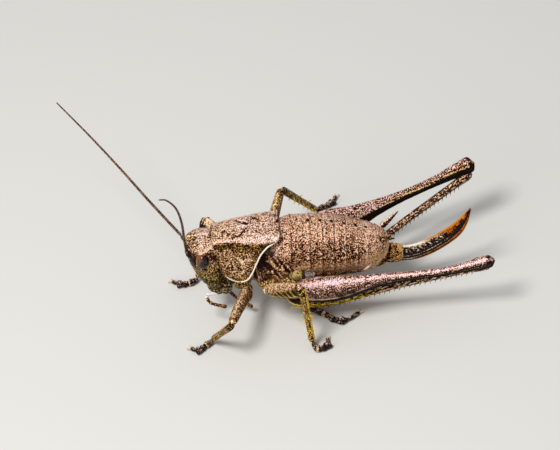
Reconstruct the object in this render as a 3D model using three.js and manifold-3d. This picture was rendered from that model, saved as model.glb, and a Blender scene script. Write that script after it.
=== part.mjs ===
// Dark bush-cricket, adult female, standing on all six feet. Millimetres, +Z up, floor at z = 0.
// The head points to -X, the tail to +X and the animal's right side to +Y.
// The trunk is drawn about its own level axis (x = 0 where the abdomen begins), then tilted and
// lifted by STANCE. Legs and antennae are given in the standing frame, where the floor is z = 0.
import * as THREE from 'three';
import { mergeVertices } from 'three/addons/utils/BufferGeometryUtils.js';
import Module from 'manifold-3d';

const wasm = await Module();
wasm.setup();

// ---- Driving dimensions ----
const GAP = 0.05;               // clearance between neighbouring pieces
const BODY_PITCH = 8.5;         // degrees, head carried higher than the tail
const AXIS_HEIGHT = 5.93;       // of the trunk's axis over the floor, at the front of the abdomen
const SHELL = 0.42;             // thickness of the pronotum's plate
const SEGMENT_STEP = 0.03;      // how far each abdominal plate's front edge tucks in
const FEELER_RADIUS = 0.26;     // antenna threads, kept thick enough to be solid
const FINEST = 0.02;            // edges and slivers finer than this are dropped after cutting

const STANCE = new THREE.Matrix4()
  .makeTranslation(0, 0, AXIS_HEIGHT)
  .multiply(new THREE.Matrix4().makeRotationY(THREE.MathUtils.degToRad(BODY_PITCH)));

// Trunk sections, front to rear: x, half width, top, widest level, bottom.
const ABDOMEN = [
  [-1.4, 2.34, 2.85, -0.1, -2.75],
  [0.0, 2.38, 2.86, -0.1, -2.8],
  [2.0, 2.33, 2.6, -0.15, -2.7],
  [4.0, 2.13, 2.02, -0.25, -2.5],
  [5.2, 1.8, 1.6, -0.3, -2.2],
  [6.0, 1.35, 1.2, -0.25, -1.7],
  [6.6, 0.8, 0.75, -0.15, -1.1],
];
const THORAX = [
  [-7.6, 0.9, 1.2, -0.6, -2.3],
  [-6.6, 1.55, 1.75, -0.8, -2.75],
  [-5.2, 1.8, 1.95, -0.9, -3.0],
  [-3.6, 2.0, 2.25, -0.7, -2.95],
  [-2.4, 2.2, 2.65, -0.4, -2.85],
  [-1.4, 2.3, 2.82, -0.2, -2.8],
];
const SEGMENT_EDGES = [-1.4, -0.1, 0.9, 1.9, 2.9, 3.9, 4.75, 5.45, 6.0];
const NECK = -7.4;              // the thorax begins here, inside the pronotum
const WAIST = SEGMENT_EDGES[0]; // where the abdomen begins
const TAIL = 6.6;

// Pronotum sections, front to rear: x, crest height, half width of the disc, of the waist under it
// and of the side lobes.
const PRONOTUM = [
  [-8.5, 1.8, 1.22, 1.58, 1.85],
  [-7.5, 2.05, 1.34, 1.72, 2.1],
  [-6.5, 2.28, 1.42, 1.8, 2.3],
  [-5.5, 2.45, 1.5, 1.9, 2.4],
  [-4.5, 2.6, 1.6, 2.0, 2.4],
  [-3.5, 2.7, 1.68, 2.08, 2.35],
  [-2.5, 2.78, 1.72, 2.12, 2.3],
];
const PRONOTUM_SHOULDER = 0.45; // the disc's edge lies this far under its crest
const PRONOTUM_WAIST = 1.5;     // and the waist under the disc this far
const LOBE_LEVEL = -1.6;        // the side lobes are widest here
const PRONOTUM_FLOOR = -2.6;    // below the lobes: the plate's outline cuts this part away
const LOBE_OUTLINE = [          // side view, front edge down, round the lobe and up to the rear
  [-8.28, 1.9], [-8.05, 1.2], [-7.65, 0.2], [-7.42, -0.9], [-6.85, -1.5], [-5.95, -1.78],
  [-5.3, -1.45], [-4.95, -0.8], [-4.55, 0.2], [-4.15, 1.1], [-3.6, 1.7], [-3.0, 2.1],
  [-2.68, 2.6], [-2.6, 3.2],
];
const LOBE_CENTRE = [-5.6, 0.5];
const OUTLINE_TOP = 3.4;        // above the crest

// Head sections, crown to mouth: level, front, rear, half width.
const HEAD = [
  [1.6, -9.4, -8.2, 0.45],
  [1.42, -10.2, -7.7, 0.9],
  [1.05, -10.5, -7.2, 1.3],
  [0.3, -10.35, -6.95, 1.62],
  [-0.6, -10.15, -6.8, 1.68],
  [-1.6, -9.85, -6.75, 1.7],
  [-2.6, -9.5, -6.8, 1.6],
  [-3.4, -9.1, -6.9, 1.32],
  [-4.0, -8.8, -7.2, 1.0],
];

// ---- Solids ----
function toSolid(geometry) {
  geometry.deleteAttribute('normal');
  geometry.deleteAttribute('uv');
  const merged = mergeVertices(geometry, 1e-4);
  const vertProperties = merged.attributes.position.array;
  const triVerts = Uint32Array.from(merged.index.array);
  return new wasm.Manifold(new wasm.Mesh({ numProp: 3, vertProperties, triVerts }));
}

// Cutting can leave slivers: only the largest body of the result is kept.
function largest(solid) {
  return solid.decompose().reduce((big, body) => (body.volume() > big.volume() ? body : big));
}

function toGeometry(solid) {
  const mesh = largest(solid.simplify(FINEST)).getMesh();
  const geometry = new THREE.BufferGeometry();
  geometry.setAttribute('position', new THREE.BufferAttribute(mesh.vertProperties, 3));
  geometry.setIndex(new THREE.BufferAttribute(mesh.triVerts, 1));
  geometry.computeVertexNormals();
  return geometry;
}

const cut = (solid, ...tools) => largest(tools.reduce((left, tool) => left.subtract(tool), solid));

// One row of a table of sections at a given place, between its neighbours.
function sectionAt(table, place) {
  const last = table.length - 1;
  let row = 1;
  while (row < last && table[row][0] < place) row += 1;
  const [before, after] = [table[row - 1], table[row]];
  const share = THREE.MathUtils.clamp((place - before[0]) / (after[0] - before[0]), 0, 1);
  return before.map((value, column) => THREE.MathUtils.lerp(value, after[column], share));
}

// A closed body from a unit cylinder. `place` gets how far along the body a vertex lies, 0 to 1,
// and its sideways and upward shares of the ring, and returns the point it moves to.
function loft(steps, sides, place) {
  const geometry = new THREE.CylinderGeometry(1, 1, 1, sides, steps);
  const position = geometry.attributes.position;
  for (let i = 0; i < position.count; i += 1) {
    const point = place(0.5 - position.getY(i), position.getX(i), position.getZ(i));
    position.setXYZ(i, point.x, point.y, point.z);
  }
  return toSolid(geometry);
}

// A stretch of the trunk between two places on its axis. A positive `extra` makes it fatter.
function trunk(table, front, rear, steps, sides, extra = 0, widthShare = () => 1) {
  return loft(steps, sides, (along, side, up) => {
    const x = THREE.MathUtils.lerp(front, rear, along);
    const [, halfWidth, top, middle, bottom] = sectionAt(table, x);
    const reach = widthShare(along);
    const height = (up > 0 ? top - middle : middle - bottom) * reach + extra;
    const y = side * (halfWidth * reach + extra);
    return new THREE.Vector3(x, y, middle + up * height).applyMatrix4(STANCE);
  });
}

// A limb along a smooth line. The profile lists share of length, half width and half height, and
// `dorsal` is the way its upper side faces. `extra` makes it fatter and longer.
function limb(points, profile, dorsal, steps, sides, extra = 0) {
  const line = points.map((point) => new THREE.Vector3(...point));
  const lastPoint = line.length - 1;
  const lead = line[0].clone().sub(line[1]).setLength(extra);
  const tail = line[lastPoint].clone().sub(line[lastPoint - 1]).setLength(extra);
  line[0].add(lead);
  line[lastPoint].add(tail);
  const curve = new THREE.CatmullRomCurve3(line, false, 'centripetal');
  return loft(steps, sides, (along, side, up) => {
    const tangent = curve.getTangentAt(along);
    const upward = dorsal.clone().addScaledVector(tangent, -dorsal.dot(tangent)).normalize();
    const across = upward.clone().cross(tangent);
    const [, halfWidth, halfHeight] = sectionAt(profile, along);
    return curve.getPointAt(along)
      .addScaledVector(across, side * (halfWidth + extra))
      .addScaledVector(upward, up * (halfHeight + extra));
  });
}

const onBody = (x, y, z) => new THREE.Vector3(x, y, z).applyMatrix4(STANCE).toArray();
const UP = new THREE.Vector3(0, 0, 1);

// A small rounded body, given on the trunk's own axes.
function bead(centre, radii, extra = 0) {
  const geometry = new THREE.SphereGeometry(1, 12, 8);
  geometry.scale(radii[0] + extra, radii[1] + extra, radii[2] + extra);
  geometry.translate(...centre);
  return toSolid(geometry.applyMatrix4(STANCE));
}

// ---- Pronotum: a saddle plate with a side lobe hanging down each flank ----
function pronotumLoft(extra, overhang = 0) {
  return loft(9, 24, (along, side, up) => {
    const x = THREE.MathUtils.lerp(PRONOTUM[0][0] - overhang, PRONOTUM.at(-1)[0] + overhang, along);
    const [, crest, disc, waist, lobe] = sectionAt(PRONOTUM, x);
    const reach = Math.hypot(side, up);
    const around = Math.abs(Math.atan2(side, up)) / Math.PI;
    const half = [
      [0, 0, crest],
      [0.2, disc * 0.62, crest - 0.07],
      [0.32, disc, crest - PRONOTUM_SHOULDER],
      [0.5, waist, crest - PRONOTUM_WAIST],
      [0.75, lobe, LOBE_LEVEL],
      [0.86, lobe, PRONOTUM_FLOOR],
      [1, 0, PRONOTUM_FLOOR],
    ];
    const [, halfWidth, level] = sectionAt(half, around);
    const spread = extra * Math.min(1, Math.abs(side) * 3);
    const y = Math.sign(side) * Math.max(0, halfWidth + spread) * reach;
    const z = level > PRONOTUM_FLOOR ? level + extra : level - 0.1;
    return new THREE.Vector3(x, y, THREE.MathUtils.lerp(0, z, reach)).applyMatrix4(STANCE);
  });
}

// A prism through the plate's side view. A positive `extra` moves its edges outward.
function pronotumOutline(extra) {
  const narrowest = 1.2;        // of the outline's reaches from its centre
  const grow = 1 + extra / narrowest;
  const [centreX, centreZ] = LOBE_CENTRE;
  const edge = LOBE_OUTLINE.map(([x, z]) => new THREE.Vector2(
    centreX + (x - centreX) * grow,
    centreZ + (z - centreZ) * grow,
  ));
  const outline = new THREE.Shape();
  outline.moveTo(edge[0].x - extra, OUTLINE_TOP);
  outline.lineTo(edge[0].x, edge[0].y);
  outline.splineThru(edge.slice(1));
  outline.lineTo(edge.at(-1).x + extra, OUTLINE_TOP);
  outline.closePath();
  const width = 8;
  const prism = { depth: width, bevelEnabled: false, curveSegments: 2 };
  const geometry = new THREE.ExtrudeGeometry(outline, prism);
  geometry.translate(0, 0, -width / 2);
  geometry.rotateX(Math.PI / 2);
  return toSolid(geometry.applyMatrix4(STANCE));
}

const pronotumPlate = (extra) =>
  pronotumLoft(extra).subtract(pronotumLoft(-SHELL - extra, 0.5)).intersect(pronotumOutline(extra));

// ---- Head ----
const headLoft = (extra) => loft(11, 20, (along, side, up) => {
  const level = THREE.MathUtils.lerp(HEAD[0][0] + extra, HEAD.at(-1)[0] - extra, along);
  const row = sectionAt([...HEAD].reverse(), level);
  const middle = (row[1] + row[2]) / 2;
  const halfLength = (row[2] - row[1]) / 2 + extra;
  return new THREE.Vector3(middle + up * halfLength, side * (row[3] + extra), level)
    .applyMatrix4(STANCE);
});

const eye = (right, extra) => bead([-9.03, right * 1.57, 0.0], [0.52, 0.48, 0.68], extra);
const labrum = (extra) => limb(
  [onBody(-8.62, 0, -3.9), onBody(-8.35, 0, -4.45), onBody(-8.12, 0, -4.85)],
  [[0, 0.85, 0.34], [0.6, 0.7, 0.3], [1, 0.4, 0.26]],
  new THREE.Vector3(-1, 0, 0), 4, 12, extra,
);
const mandible = (right, extra) => limb(
  [[-7.7, 0.72, -3.75], [-7.72, 0.66, -4.4], [-7.85, 0.36, -4.9]]
    .map(([x, y, z]) => onBody(x, right * y, z)),
  [[0, 0.36, 0.62], [0.5, 0.34, 0.5], [1, 0.26, 0.28]],
  new THREE.Vector3(-1, 0, 0), 4, 10, extra,
);

// ---- Wing stubs: small flaps that show from under the pronotum's rear edge ----
const WING_STUB_LINE = [[-3.8, 1.95, 1.2], [-3.2, 2.12, 1.15], [-2.6, 2.2, 1.0]];
const WING_STUB_PROFILE = [[0, 0.25, 0.5], [0.6, 0.27, 0.5], [1, 0.2, 0.25]];

// ---- Abdomen tip ----
const OVIPOSITOR_LINE = [
  [7.5, -1.52], [8.45, -1.46], [9.5, -1.1], [10.5, -0.5], [11.4, 0.24], [12.15, 1.14], [12.78, 2.25],
  [13.28, 3.35],
].map(([x, z]) => onBody(x, 0, z));
const OVIPOSITOR_PROFILE = [
  [0, 0.36, 0.86], [0.15, 0.36, 0.84], [0.42, 0.3, 0.78],
  [0.57, 0.28, 0.74], [0.72, 0.27, 0.6], [0.86, 0.26, 0.36], [1, 0.25, 0.06],
];
const ovipositor = (extra) => limb(OVIPOSITOR_LINE, OVIPOSITOR_PROFILE, UP, 11, 10, extra);
const ovipositorBase = (extra) => bead([6.95, 0, -1.35], [1.05, 0.62, 1.05], extra);
const subgenitalPlate = (extra) => limb(
  [onBody(5.0, 0, -2.25), onBody(5.75, 0, -2.25), onBody(6.45, 0, -2.15)],
  [[0, 0.75, 0.3], [0.6, 0.6, 0.28], [1, 0.36, 0.25]],
  UP, 4, 12, extra,
);
const CERCUS_PROFILE = [[0, 0.32, 0.32], [0.5, 0.22, 0.22], [0.85, 0.13, 0.13], [1, 0.09, 0.09]];
const CERCI = {
  left: [onBody(5.75, -0.8, 1.0), onBody(6.35, -1.05, 1.3), onBody(6.95, -1.25, 1.5)],
  right: [onBody(5.75, 0.75, 1.0), onBody(6.6, 1.05, 1.5), onBody(7.35, 1.3, 2.1)],
};

// ---- Feelers and palps: lines in the standing frame ----
const SCAPES = {
  left: [onBody(-9.7, -0.62, -0.35), onBody(-10.2, -0.7, 0.1), onBody(-10.36, -0.76, 0.65)],
  right: [onBody(-9.7, 0.62, -0.35), onBody(-10.3, 0.75, 0.1), onBody(-10.72, 1.0, 0.6)],
};
const SCAPE_PROFILE = [[0, 0.3, 0.3], [0.55, 0.36, 0.36], [0.8, 0.28, 0.28], [1, 0.26, 0.26]];
const THREADS = {
  left: [
    [-10.14, -0.75, 8.1], [-10.07, -1.02, 9.5], [-9.86, -1.83, 12.4], [-9.91, -3.02, 15.2],
    [-10.2, -5.3, 18.4], [-10.4, -8.2, 21.4],
  ],
  right: [
    [-10.5, 1.0, 8.15], [-12.8, 4.25, 9.35], [-15.05, 7.7, 10.4], [-17.35, 11.0, 11.5],
    [-19.95, 14.6, 12.6],
  ],
};
const THREAD_PROFILE = [[0, FEELER_RADIUS, FEELER_RADIUS], [1, FEELER_RADIUS, FEELER_RADIUS]];
const PALP_PROFILE = [[0, 0.26, 0.26], [0.8, 0.27, 0.27], [1, 0.25, 0.25]];
const PALPS = {
  palp_maxillary_left: [
    [-7.75, -0.85, -4.5], [-8.65, -1.1, -4.5], [-8.4, -1.75, -4.75], [-7.1, -1.95, -5.1],
  ],
  palp_maxillary_right: [[-7.75, 0.85, -4.5], [-8.5, 1.3, -4.7], [-8.5, 1.8, -5.2], [-7.8, 1.9, -5.7]],
  palp_labial_left: [[-7.1, -0.5, -4.25], [-6.2, -0.9, -5.1], [-4.9, -1.25, -5.95]],
  palp_labial_right: [[-7.1, 0.5, -4.25], [-6.5, 0.9, -5.1], [-5.4, 1.25, -5.8]],
};

// ---- Legs: hip, knee and ankle, and the line of the foot over the floor ----
const LEGS = {
  front_left: {
    root: onBody(-6.0, -1.1, -2.2), hip: [-5.7, -1.75, 3.65], knee: [-7.15, -6.6, 4.5],
    ankle: [-9.25, -4.1, 0.55], foot: [[-9.85, -4.4], [-10.55, -4.9], [-11.2, -4.45]],
  },
  front_right: {
    root: onBody(-6.0, 1.1, -2.2), hip: [-5.7, 1.7, 3.8], knee: [-8.9, 5.75, 5.05],
    ankle: [-10.2, 3.35, 0.5], foot: [[-11.1, 3.1], [-11.8, 3.15], [-12.5, 3.7]],
  },
  middle_left: {
    root: onBody(-3.7, -1.3, -2.2), hip: [-4.1, -2.1, 3.45], knee: [-0.95, -5.45, 6.25],
    ankle: [-0.95, -6.0, 0.5], foot: [[-0.5, -6.7], [0.25, -6.45], [0.3, -5.55]],
  },
  middle_right: {
    root: onBody(-3.7, 1.3, -2.2), hip: [-4.1, 2.1, 3.75], knee: [-2.0, 7.1, 5.9],
    ankle: [0.35, 9.5, 0.5], foot: [[1.1, 9.95], [1.75, 10.3], [2.15, 11.1]],
  },
  hind_left: {
    root: onBody(-2.3, -1.4, -2.0), hip: [-1.5, -2.9, 3.45], knee: [14.95, -4.8, 5.8], sag: [0.17, 0.03, 0.28],
    ankle: [-1.15, -1.85, 0.85], foot: [[0.2, -2.75], [1.1, -3.65], [2.15, -3.8], [3.2, -3.05]],
  },
  hind_right: {
    root: onBody(-2.3, 1.4, -2.0), hip: [-1.5, 2.65, 3.85], knee: [14.4, 6.05, 6.7], sag: [0.4, 0.3, 0.3],
    ankle: [0.8, 1.3, 0.55], foot: [[1.7, 2.3], [2.6, 3.0], [3.5, 3.4], [4.2, 3.5]],
  },
};
const HIND_FEMUR_PLACES = [0.2, 0.45, 0.75];    // shares of a jumping femur at which it sags
const HIND_FEMUR_BOW = 0.1;     // and bows outward by this much
const HIND_FEMUR_LEAN = 20;     // degrees, its upper edge leans outward
const HIND_TIBIA_BOW = 0.45;    // the hind tibia bows down by this much near the ankle
const HIND_TIBIA_DROP = 0.85;   // the hind tibia hangs under the knee by this much
const FRONT_FEMUR = [
  [0, 0.4, 0.46], [0.3, 0.46, 0.52], [0.75, 0.44, 0.5], [0.93, 0.38, 0.42], [1, 0.28, 0.3],
];
const MIDDLE_FEMUR = [
  [0, 0.38, 0.5], [0.35, 0.42, 0.6], [0.8, 0.38, 0.55], [0.93, 0.34, 0.42], [1, 0.28, 0.3],
];
const WALKING_TIBIA = [[0, 0.28, 0.3], [0.12, 0.3, 0.33], [0.6, 0.27, 0.3], [1, 0.26, 0.27]];
const JUMPING_FEMUR = [
  [0, 0.56, 0.9], [0.04, 0.78, 1.45], [0.1, 0.85, 1.74], [0.18, 0.84, 1.78], [0.27, 0.77, 1.58],
  [0.35, 0.58, 1.12], [0.43, 0.44, 0.84], [0.52, 0.37, 0.6], [0.62, 0.33, 0.46], [0.76, 0.31, 0.44],
  [0.88, 0.37, 0.5], [0.95, 0.45, 0.6], [1, 0.38, 0.44],
];
const JUMPING_TIBIA = [
  [0, 0.3, 0.34], [0.04, 0.34, 0.4], [0.12, 0.28, 0.33], [0.9, 0.26, 0.3], [1, 0.28, 0.3],
];
const COXA_PROFILE = [[0, 0.7, 0.62], [0.5, 0.66, 0.6], [0.85, 0.5, 0.5], [1, 0.4, 0.42]];
const HIND_FOOT = [
  [0, 0.26, 0.3], [0.28, 0.33, 0.36], [0.4, 0.26, 0.28], [0.58, 0.4, 0.34], [0.68, 0.26, 0.28],
  [1, 0.25, 0.28],
];
const WALKING_FOOT = [
  [0, 0.26, 0.3], [0.25, 0.3, 0.34], [0.4, 0.26, 0.28], [0.6, 0.38, 0.34], [0.72, 0.26, 0.28],
  [1, 0.25, 0.28],
];
const HEEL_LEVEL = 0.36;        // of the foot's line under the ankle
const SOLE_LEVEL = 0.27;        // of the foot's line over the floor, less than its half height

function legPieces(name, leg) {
  const hind = name.startsWith('hind');
  const outward = Math.sign(leg.knee[1]);
  const lean = THREE.MathUtils.degToRad(hind ? HIND_FEMUR_LEAN : 0);
  const dorsal = new THREE.Vector3(0, outward * Math.sin(lean), Math.cos(lean));
  const [hip, knee, ankle] = [leg.hip, leg.knee, leg.ankle]
    .map((point) => new THREE.Vector3(...point));
  const bowed = hind ? HIND_FEMUR_PLACES.map((share, i) => hip.clone().lerp(knee, share)
    .add(new THREE.Vector3(0, outward * HIND_FEMUR_BOW, -leg.sag[i])).toArray()) : [];
  const bowedLine = [leg.hip, ...bowed, leg.knee];
  const walkingFemur = name.startsWith('front') ? FRONT_FEMUR : MIDDLE_FEMUR;
  const shinTop = knee.clone().addScaledVector(dorsal, hind ? -HIND_TIBIA_DROP : -0.1);
  if (hind) shinTop.lerp(hip, 0.02);
  const onShin = (share, drop) => shinTop.clone().lerp(ankle, share).add(new THREE.Vector3(0, 0, -drop));
  const shinLine = (hind ? [shinTop, onShin(0.5, 0.1), onShin(0.84, HIND_TIBIA_BOW), ankle]
    : [shinTop, onShin(0.5, 0), ankle]).map((point) => point.toArray());
  const shinProfile = hind ? JUMPING_TIBIA : WALKING_TIBIA;
  const shinDorsal = hind ? dorsal : knee.clone().sub(hip).normalize();
  const footLine = [
    [leg.ankle[0], leg.ankle[1], HEEL_LEVEL],
    ...leg.foot.map(([x, y]) => [x, y, SOLE_LEVEL]),
  ];
  const femur = (extra) => (hind
    ? limb(bowedLine, JUMPING_FEMUR, dorsal, 14, 12, extra)
    : limb([leg.hip, leg.knee], walkingFemur, dorsal, 6, 10, extra));
  return {
    coxa: (extra) => limb([leg.root, leg.hip], COXA_PROFILE, UP, 4, 10, extra),
    femur,
    tibia: (extra) => limb(shinLine, shinProfile, shinDorsal, 8, 8, extra),
    tarsus: (extra) => limb(footLine, hind ? HIND_FOOT : WALKING_FOOT, UP, 9, 8, extra),
  };
}

// ---- Assembly ----
const COLOURS = {
  cuticle: [0x7c5a42, 0.55], dark: [0x4c3628, 0.5], eye: [0x5c2c14, 0.2], feeler: [0x33241c, 0.5],
  blade: [0x6e3a1e, 0.35], pale: [0xb49c80, 0.6],
};
const group = new THREE.Group();

function addPiece(name, solid, colour) {
  const [hex, roughness] = COLOURS[colour];
  const material = new THREE.MeshStandardMaterial({ color: hex, roughness, metalness: 0 });
  const mesh = new THREE.Mesh(toGeometry(solid), material);
  mesh.name = name;
  group.add(mesh);
}

const SIDES = { left: -1, right: 1 };
const plateGrown = pronotumPlate(GAP);
const headSolid = cut(headLoft(0), plateGrown);
const headGrown = headLoft(GAP);
const thoraxGrown = trunk(THORAX, NECK, WAIST - GAP / 2, 6, 18, GAP);
const abdomenGrown = trunk(ABDOMEN, WAIST, TAIL, 12, 24, GAP);

addPiece('pronotum', pronotumPlate(0), 'cuticle');
addPiece('head', headSolid, 'cuticle');
addPiece('thorax', cut(trunk(THORAX, NECK, WAIST - GAP, 6, 18), plateGrown, headGrown), 'dark');
addPiece('labrum', cut(labrum(0), headGrown), 'dark');
for (const [side, right] of Object.entries(SIDES)) {
  addPiece(`eye_${side}`, cut(eye(right, 0), headGrown), 'eye');
  addPiece(`mandible_${side}`, cut(mandible(right, 0), headGrown, labrum(GAP)), 'dark');
  const stubLine = WING_STUB_LINE.map(([x, y, z]) => onBody(x, right * y, z));
  const stub = limb(stubLine, WING_STUB_PROFILE, UP, 4, 10);
  addPiece(`wing_stub_${side}`, cut(stub, plateGrown, thoraxGrown), 'pale');
}

// Antennae: the barrel at the root, then two lengths of thread.
for (const side of Object.keys(SIDES)) {
  const scape = (extra) => limb(SCAPES[side], SCAPE_PROFILE, UP, 4, 8, extra);
  addPiece(`antenna_${side}_scape`, cut(scape(0), headGrown), 'dark');
  const line = THREADS[side];
  const half = Math.ceil(line.length / 2);
  const upper = line.slice(0, half);
  const lower = line.slice(half - 1);
  const forward = new THREE.Vector3(1, 0, 0);
  const thread = (points, extra) => limb(points, THREAD_PROFILE, forward, 7, 8, extra);
  addPiece(`antenna_${side}_thread_1`, cut(thread(upper, 0), scape(GAP), headGrown), 'feeler');
  addPiece(`antenna_${side}_thread_2`, cut(thread(lower, 0), thread(upper, GAP)), 'feeler');
}
for (const [name, line] of Object.entries(PALPS)) {
  const palp = limb(line.map((point) => onBody(...point)), PALP_PROFILE, UP, 6, 7);
  addPiece(name, cut(palp, headGrown, mandible(-1, GAP), mandible(1, GAP)), 'pale');
}

// Abdomen: each ring's front edge tucks in behind the ring before it. The last ones are cut round
// the ovipositor's base.
const FIRST_CUT_RING = 5;
for (let i = 0; i + 1 < SEGMENT_EDGES.length; i += 1) {
  const tuck = (along) => 1 - SEGMENT_STEP * (1 - along);
  const ring = trunk(ABDOMEN, SEGMENT_EDGES[i], SEGMENT_EDGES[i + 1] - GAP, 1, 22, 0, tuck);
  const solid = i >= FIRST_CUT_RING ? cut(ring, ovipositorBase(GAP), subgenitalPlate(GAP)) : ring;
  addPiece(`abdomen_ring_${i + 1}`, solid, 'cuticle');
}
const tip = trunk(ABDOMEN, SEGMENT_EDGES.at(-1), TAIL, 2, 16);
addPiece('abdomen_tip', cut(tip, ovipositorBase(GAP)), 'cuticle');
addPiece('subgenital_plate', cut(subgenitalPlate(0), ovipositorBase(GAP)), 'dark');
addPiece('ovipositor_base', ovipositorBase(0), 'cuticle');
addPiece('ovipositor', cut(ovipositor(0), ovipositorBase(GAP)), 'blade');
for (const [side, line] of Object.entries(CERCI)) {
  const cercus = limb(line, CERCUS_PROFILE, UP, 5, 8);
  addPiece(`cercus_${side}`, cut(cercus, abdomenGrown, ovipositorBase(GAP)), 'pale');
}

// Legs: each piece is cut back to clear the one it grows from, and the feet stand flat on z = 0.
for (const [name, leg] of Object.entries(LEGS)) {
  const { coxa, femur, tibia, tarsus } = legPieces(name, leg);
  addPiece(`${name}_coxa`, cut(coxa(0), thoraxGrown, abdomenGrown, plateGrown), 'dark');
  addPiece(`${name}_femur`, cut(femur(0), coxa(GAP), thoraxGrown, abdomenGrown), 'cuticle');
  addPiece(`${name}_tibia`, cut(tibia(0), femur(GAP)), 'cuticle');
  addPiece(`${name}_tarsus`, cut(tarsus(0), tibia(GAP)).trimByPlane([0, 0, 1], 0), 'dark');
}

// The origin is on the floor under the middle of the whole animal.
group.updateMatrixWorld(true);
const middle = new THREE.Box3().setFromObject(group, true).getCenter(new THREE.Vector3());
group.position.set(-middle.x, -middle.y, 0);

export default group;
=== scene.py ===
"""A dark bush-cricket, adult female, standing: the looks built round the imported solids."""
import math

import bmesh
import bpy
from mathutils import Matrix, Vector, noise


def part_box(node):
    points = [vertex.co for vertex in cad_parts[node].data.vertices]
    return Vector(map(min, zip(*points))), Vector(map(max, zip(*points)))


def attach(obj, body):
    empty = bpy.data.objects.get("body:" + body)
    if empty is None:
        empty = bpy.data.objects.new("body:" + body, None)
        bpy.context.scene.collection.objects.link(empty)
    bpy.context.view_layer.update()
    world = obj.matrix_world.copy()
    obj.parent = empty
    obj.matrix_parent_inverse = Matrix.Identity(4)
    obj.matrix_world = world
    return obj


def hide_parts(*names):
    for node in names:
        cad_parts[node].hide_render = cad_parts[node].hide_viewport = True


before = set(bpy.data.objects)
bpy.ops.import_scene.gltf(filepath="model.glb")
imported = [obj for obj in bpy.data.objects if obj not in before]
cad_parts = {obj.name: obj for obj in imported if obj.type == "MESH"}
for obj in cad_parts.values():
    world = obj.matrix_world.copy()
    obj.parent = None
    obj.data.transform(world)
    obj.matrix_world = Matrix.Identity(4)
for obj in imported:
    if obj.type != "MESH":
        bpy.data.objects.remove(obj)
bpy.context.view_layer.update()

# ---- Stance ----
# The animal stands on level ground with its trunk tilted head up. Pieces of the trunk are drawn in
# millimetres on the trunk's own axes (x = 0 where the abdomen begins), legs over the ground below it.
MM = 0.001
BODY_PITCH = math.radians(8.5)
OVIPOSITOR_ROOT = Vector((6.95, 0, -1.35))
TILT = Matrix.Rotation(BODY_PITCH, 4, "Y")
root_low, root_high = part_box("ovipositor_base")
trunk_origin = (root_low + root_high) / 2 - TILT @ (OVIPOSITOR_ROOT * MM)
TRUNK = Matrix.Translation(trunk_origin) @ TILT @ Matrix.Scale(MM, 4)
GROUND = Matrix.Translation((trunk_origin.x, trunk_origin.y, 0)) @ Matrix.Scale(MM, 4)


def on_trunk(x, y, z):
    """A point of the trunk's own axes, over the ground."""
    return GROUND.inverted() @ (TRUNK @ Vector((x, y, z)))


# ---- Camera ----
# A long lens looks down on the left flank from over the middle legs. It is rolled so that the
# ground falls away to the right, as for an animal seen on a sloping leaf.
AZIMUTH = math.radians(5.03)
ELEVATION = math.radians(44.4)
ROLL = math.radians(11.87)
CAMERA_DISTANCE = 320
VIEW_WIDTH = 46.667
VIEW_CENTRE = (-2.5, 1.58)
SENSOR_WIDTH = 36

level_right = Vector((math.cos(AZIMUTH), math.sin(AZIMUTH), 0))
back = Vector((
    math.sin(AZIMUTH) * math.cos(ELEVATION),
    -math.cos(AZIMUTH) * math.cos(ELEVATION),
    math.sin(ELEVATION),
))
level_up = back.cross(level_right)
right = level_right * math.cos(ROLL) - level_up * math.sin(ROLL)
upward = level_right * math.sin(ROLL) + level_up * math.cos(ROLL)
lens = bpy.data.cameras.new("camera")
lens.sensor_width = SENSOR_WIDTH
lens.lens = SENSOR_WIDTH * CAMERA_DISTANCE / VIEW_WIDTH
lens.clip_start = 0.01
camera = bpy.data.objects.new("camera", lens)
bpy.context.scene.collection.objects.link(camera)
turn = Matrix((right, upward, back)).transposed().to_4x4()
stand_off = right * VIEW_CENTRE[0] + upward * VIEW_CENTRE[1] + back * CAMERA_DISTANCE
camera.matrix_world = Matrix.Translation(trunk_origin + stand_off * MM) @ turn
bpy.context.scene.camera = camera

# ---- Floor and light ----
# A plain pale floor, one broad soft lamp nearly overhead that puts the sheen on the back's
# shoulders, a weaker one from the left front, and a pale room all round.
FLOOR_SIZE = 4
FLOOR_COLOUR = "#dedcd6"
# Each lamp's name, place and breadth in millimetres, and its power in watts.
LAMPS = (
    ("key lamp", (-60, -70, 200), 75, 0.34),
    ("fill lamp", (-190, -160, 90), 140, 0.1),
)
ROOM_LIGHT = 0.42
ROOM_COLOUR = "#f4f6fa"


def linear(code):
    """An sRGB hex colour as the linear colour that shaders take."""
    shares = (int(code[i:i + 2], 16) / 255 for i in (1, 3, 5))
    return tuple(c / 12.92 if c <= 0.04045 else ((c + 0.055) / 1.055) ** 2.4 for c in shares) + (1,)


def add(tree, kind, sockets=None, **settings):
    """Adds a shader node. Each socket gets a value, or is linked to another node's output."""
    made = tree.nodes.new("ShaderNode" + kind)
    for setting, value in settings.items():
        setattr(made, setting, value)
    for socket, value in (sockets or {}).items():
        if isinstance(value, bpy.types.NodeSocket):
            tree.links.new(value, made.inputs[socket])
        else:
            made.inputs[socket].default_value = value
    return made


bpy.ops.mesh.primitive_plane_add(size=FLOOR_SIZE)
floor = bpy.context.object
floor.name = "floor"
floor_paint = bpy.data.materials.new("matt floor paint")
floor_paint.use_nodes = True
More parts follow.
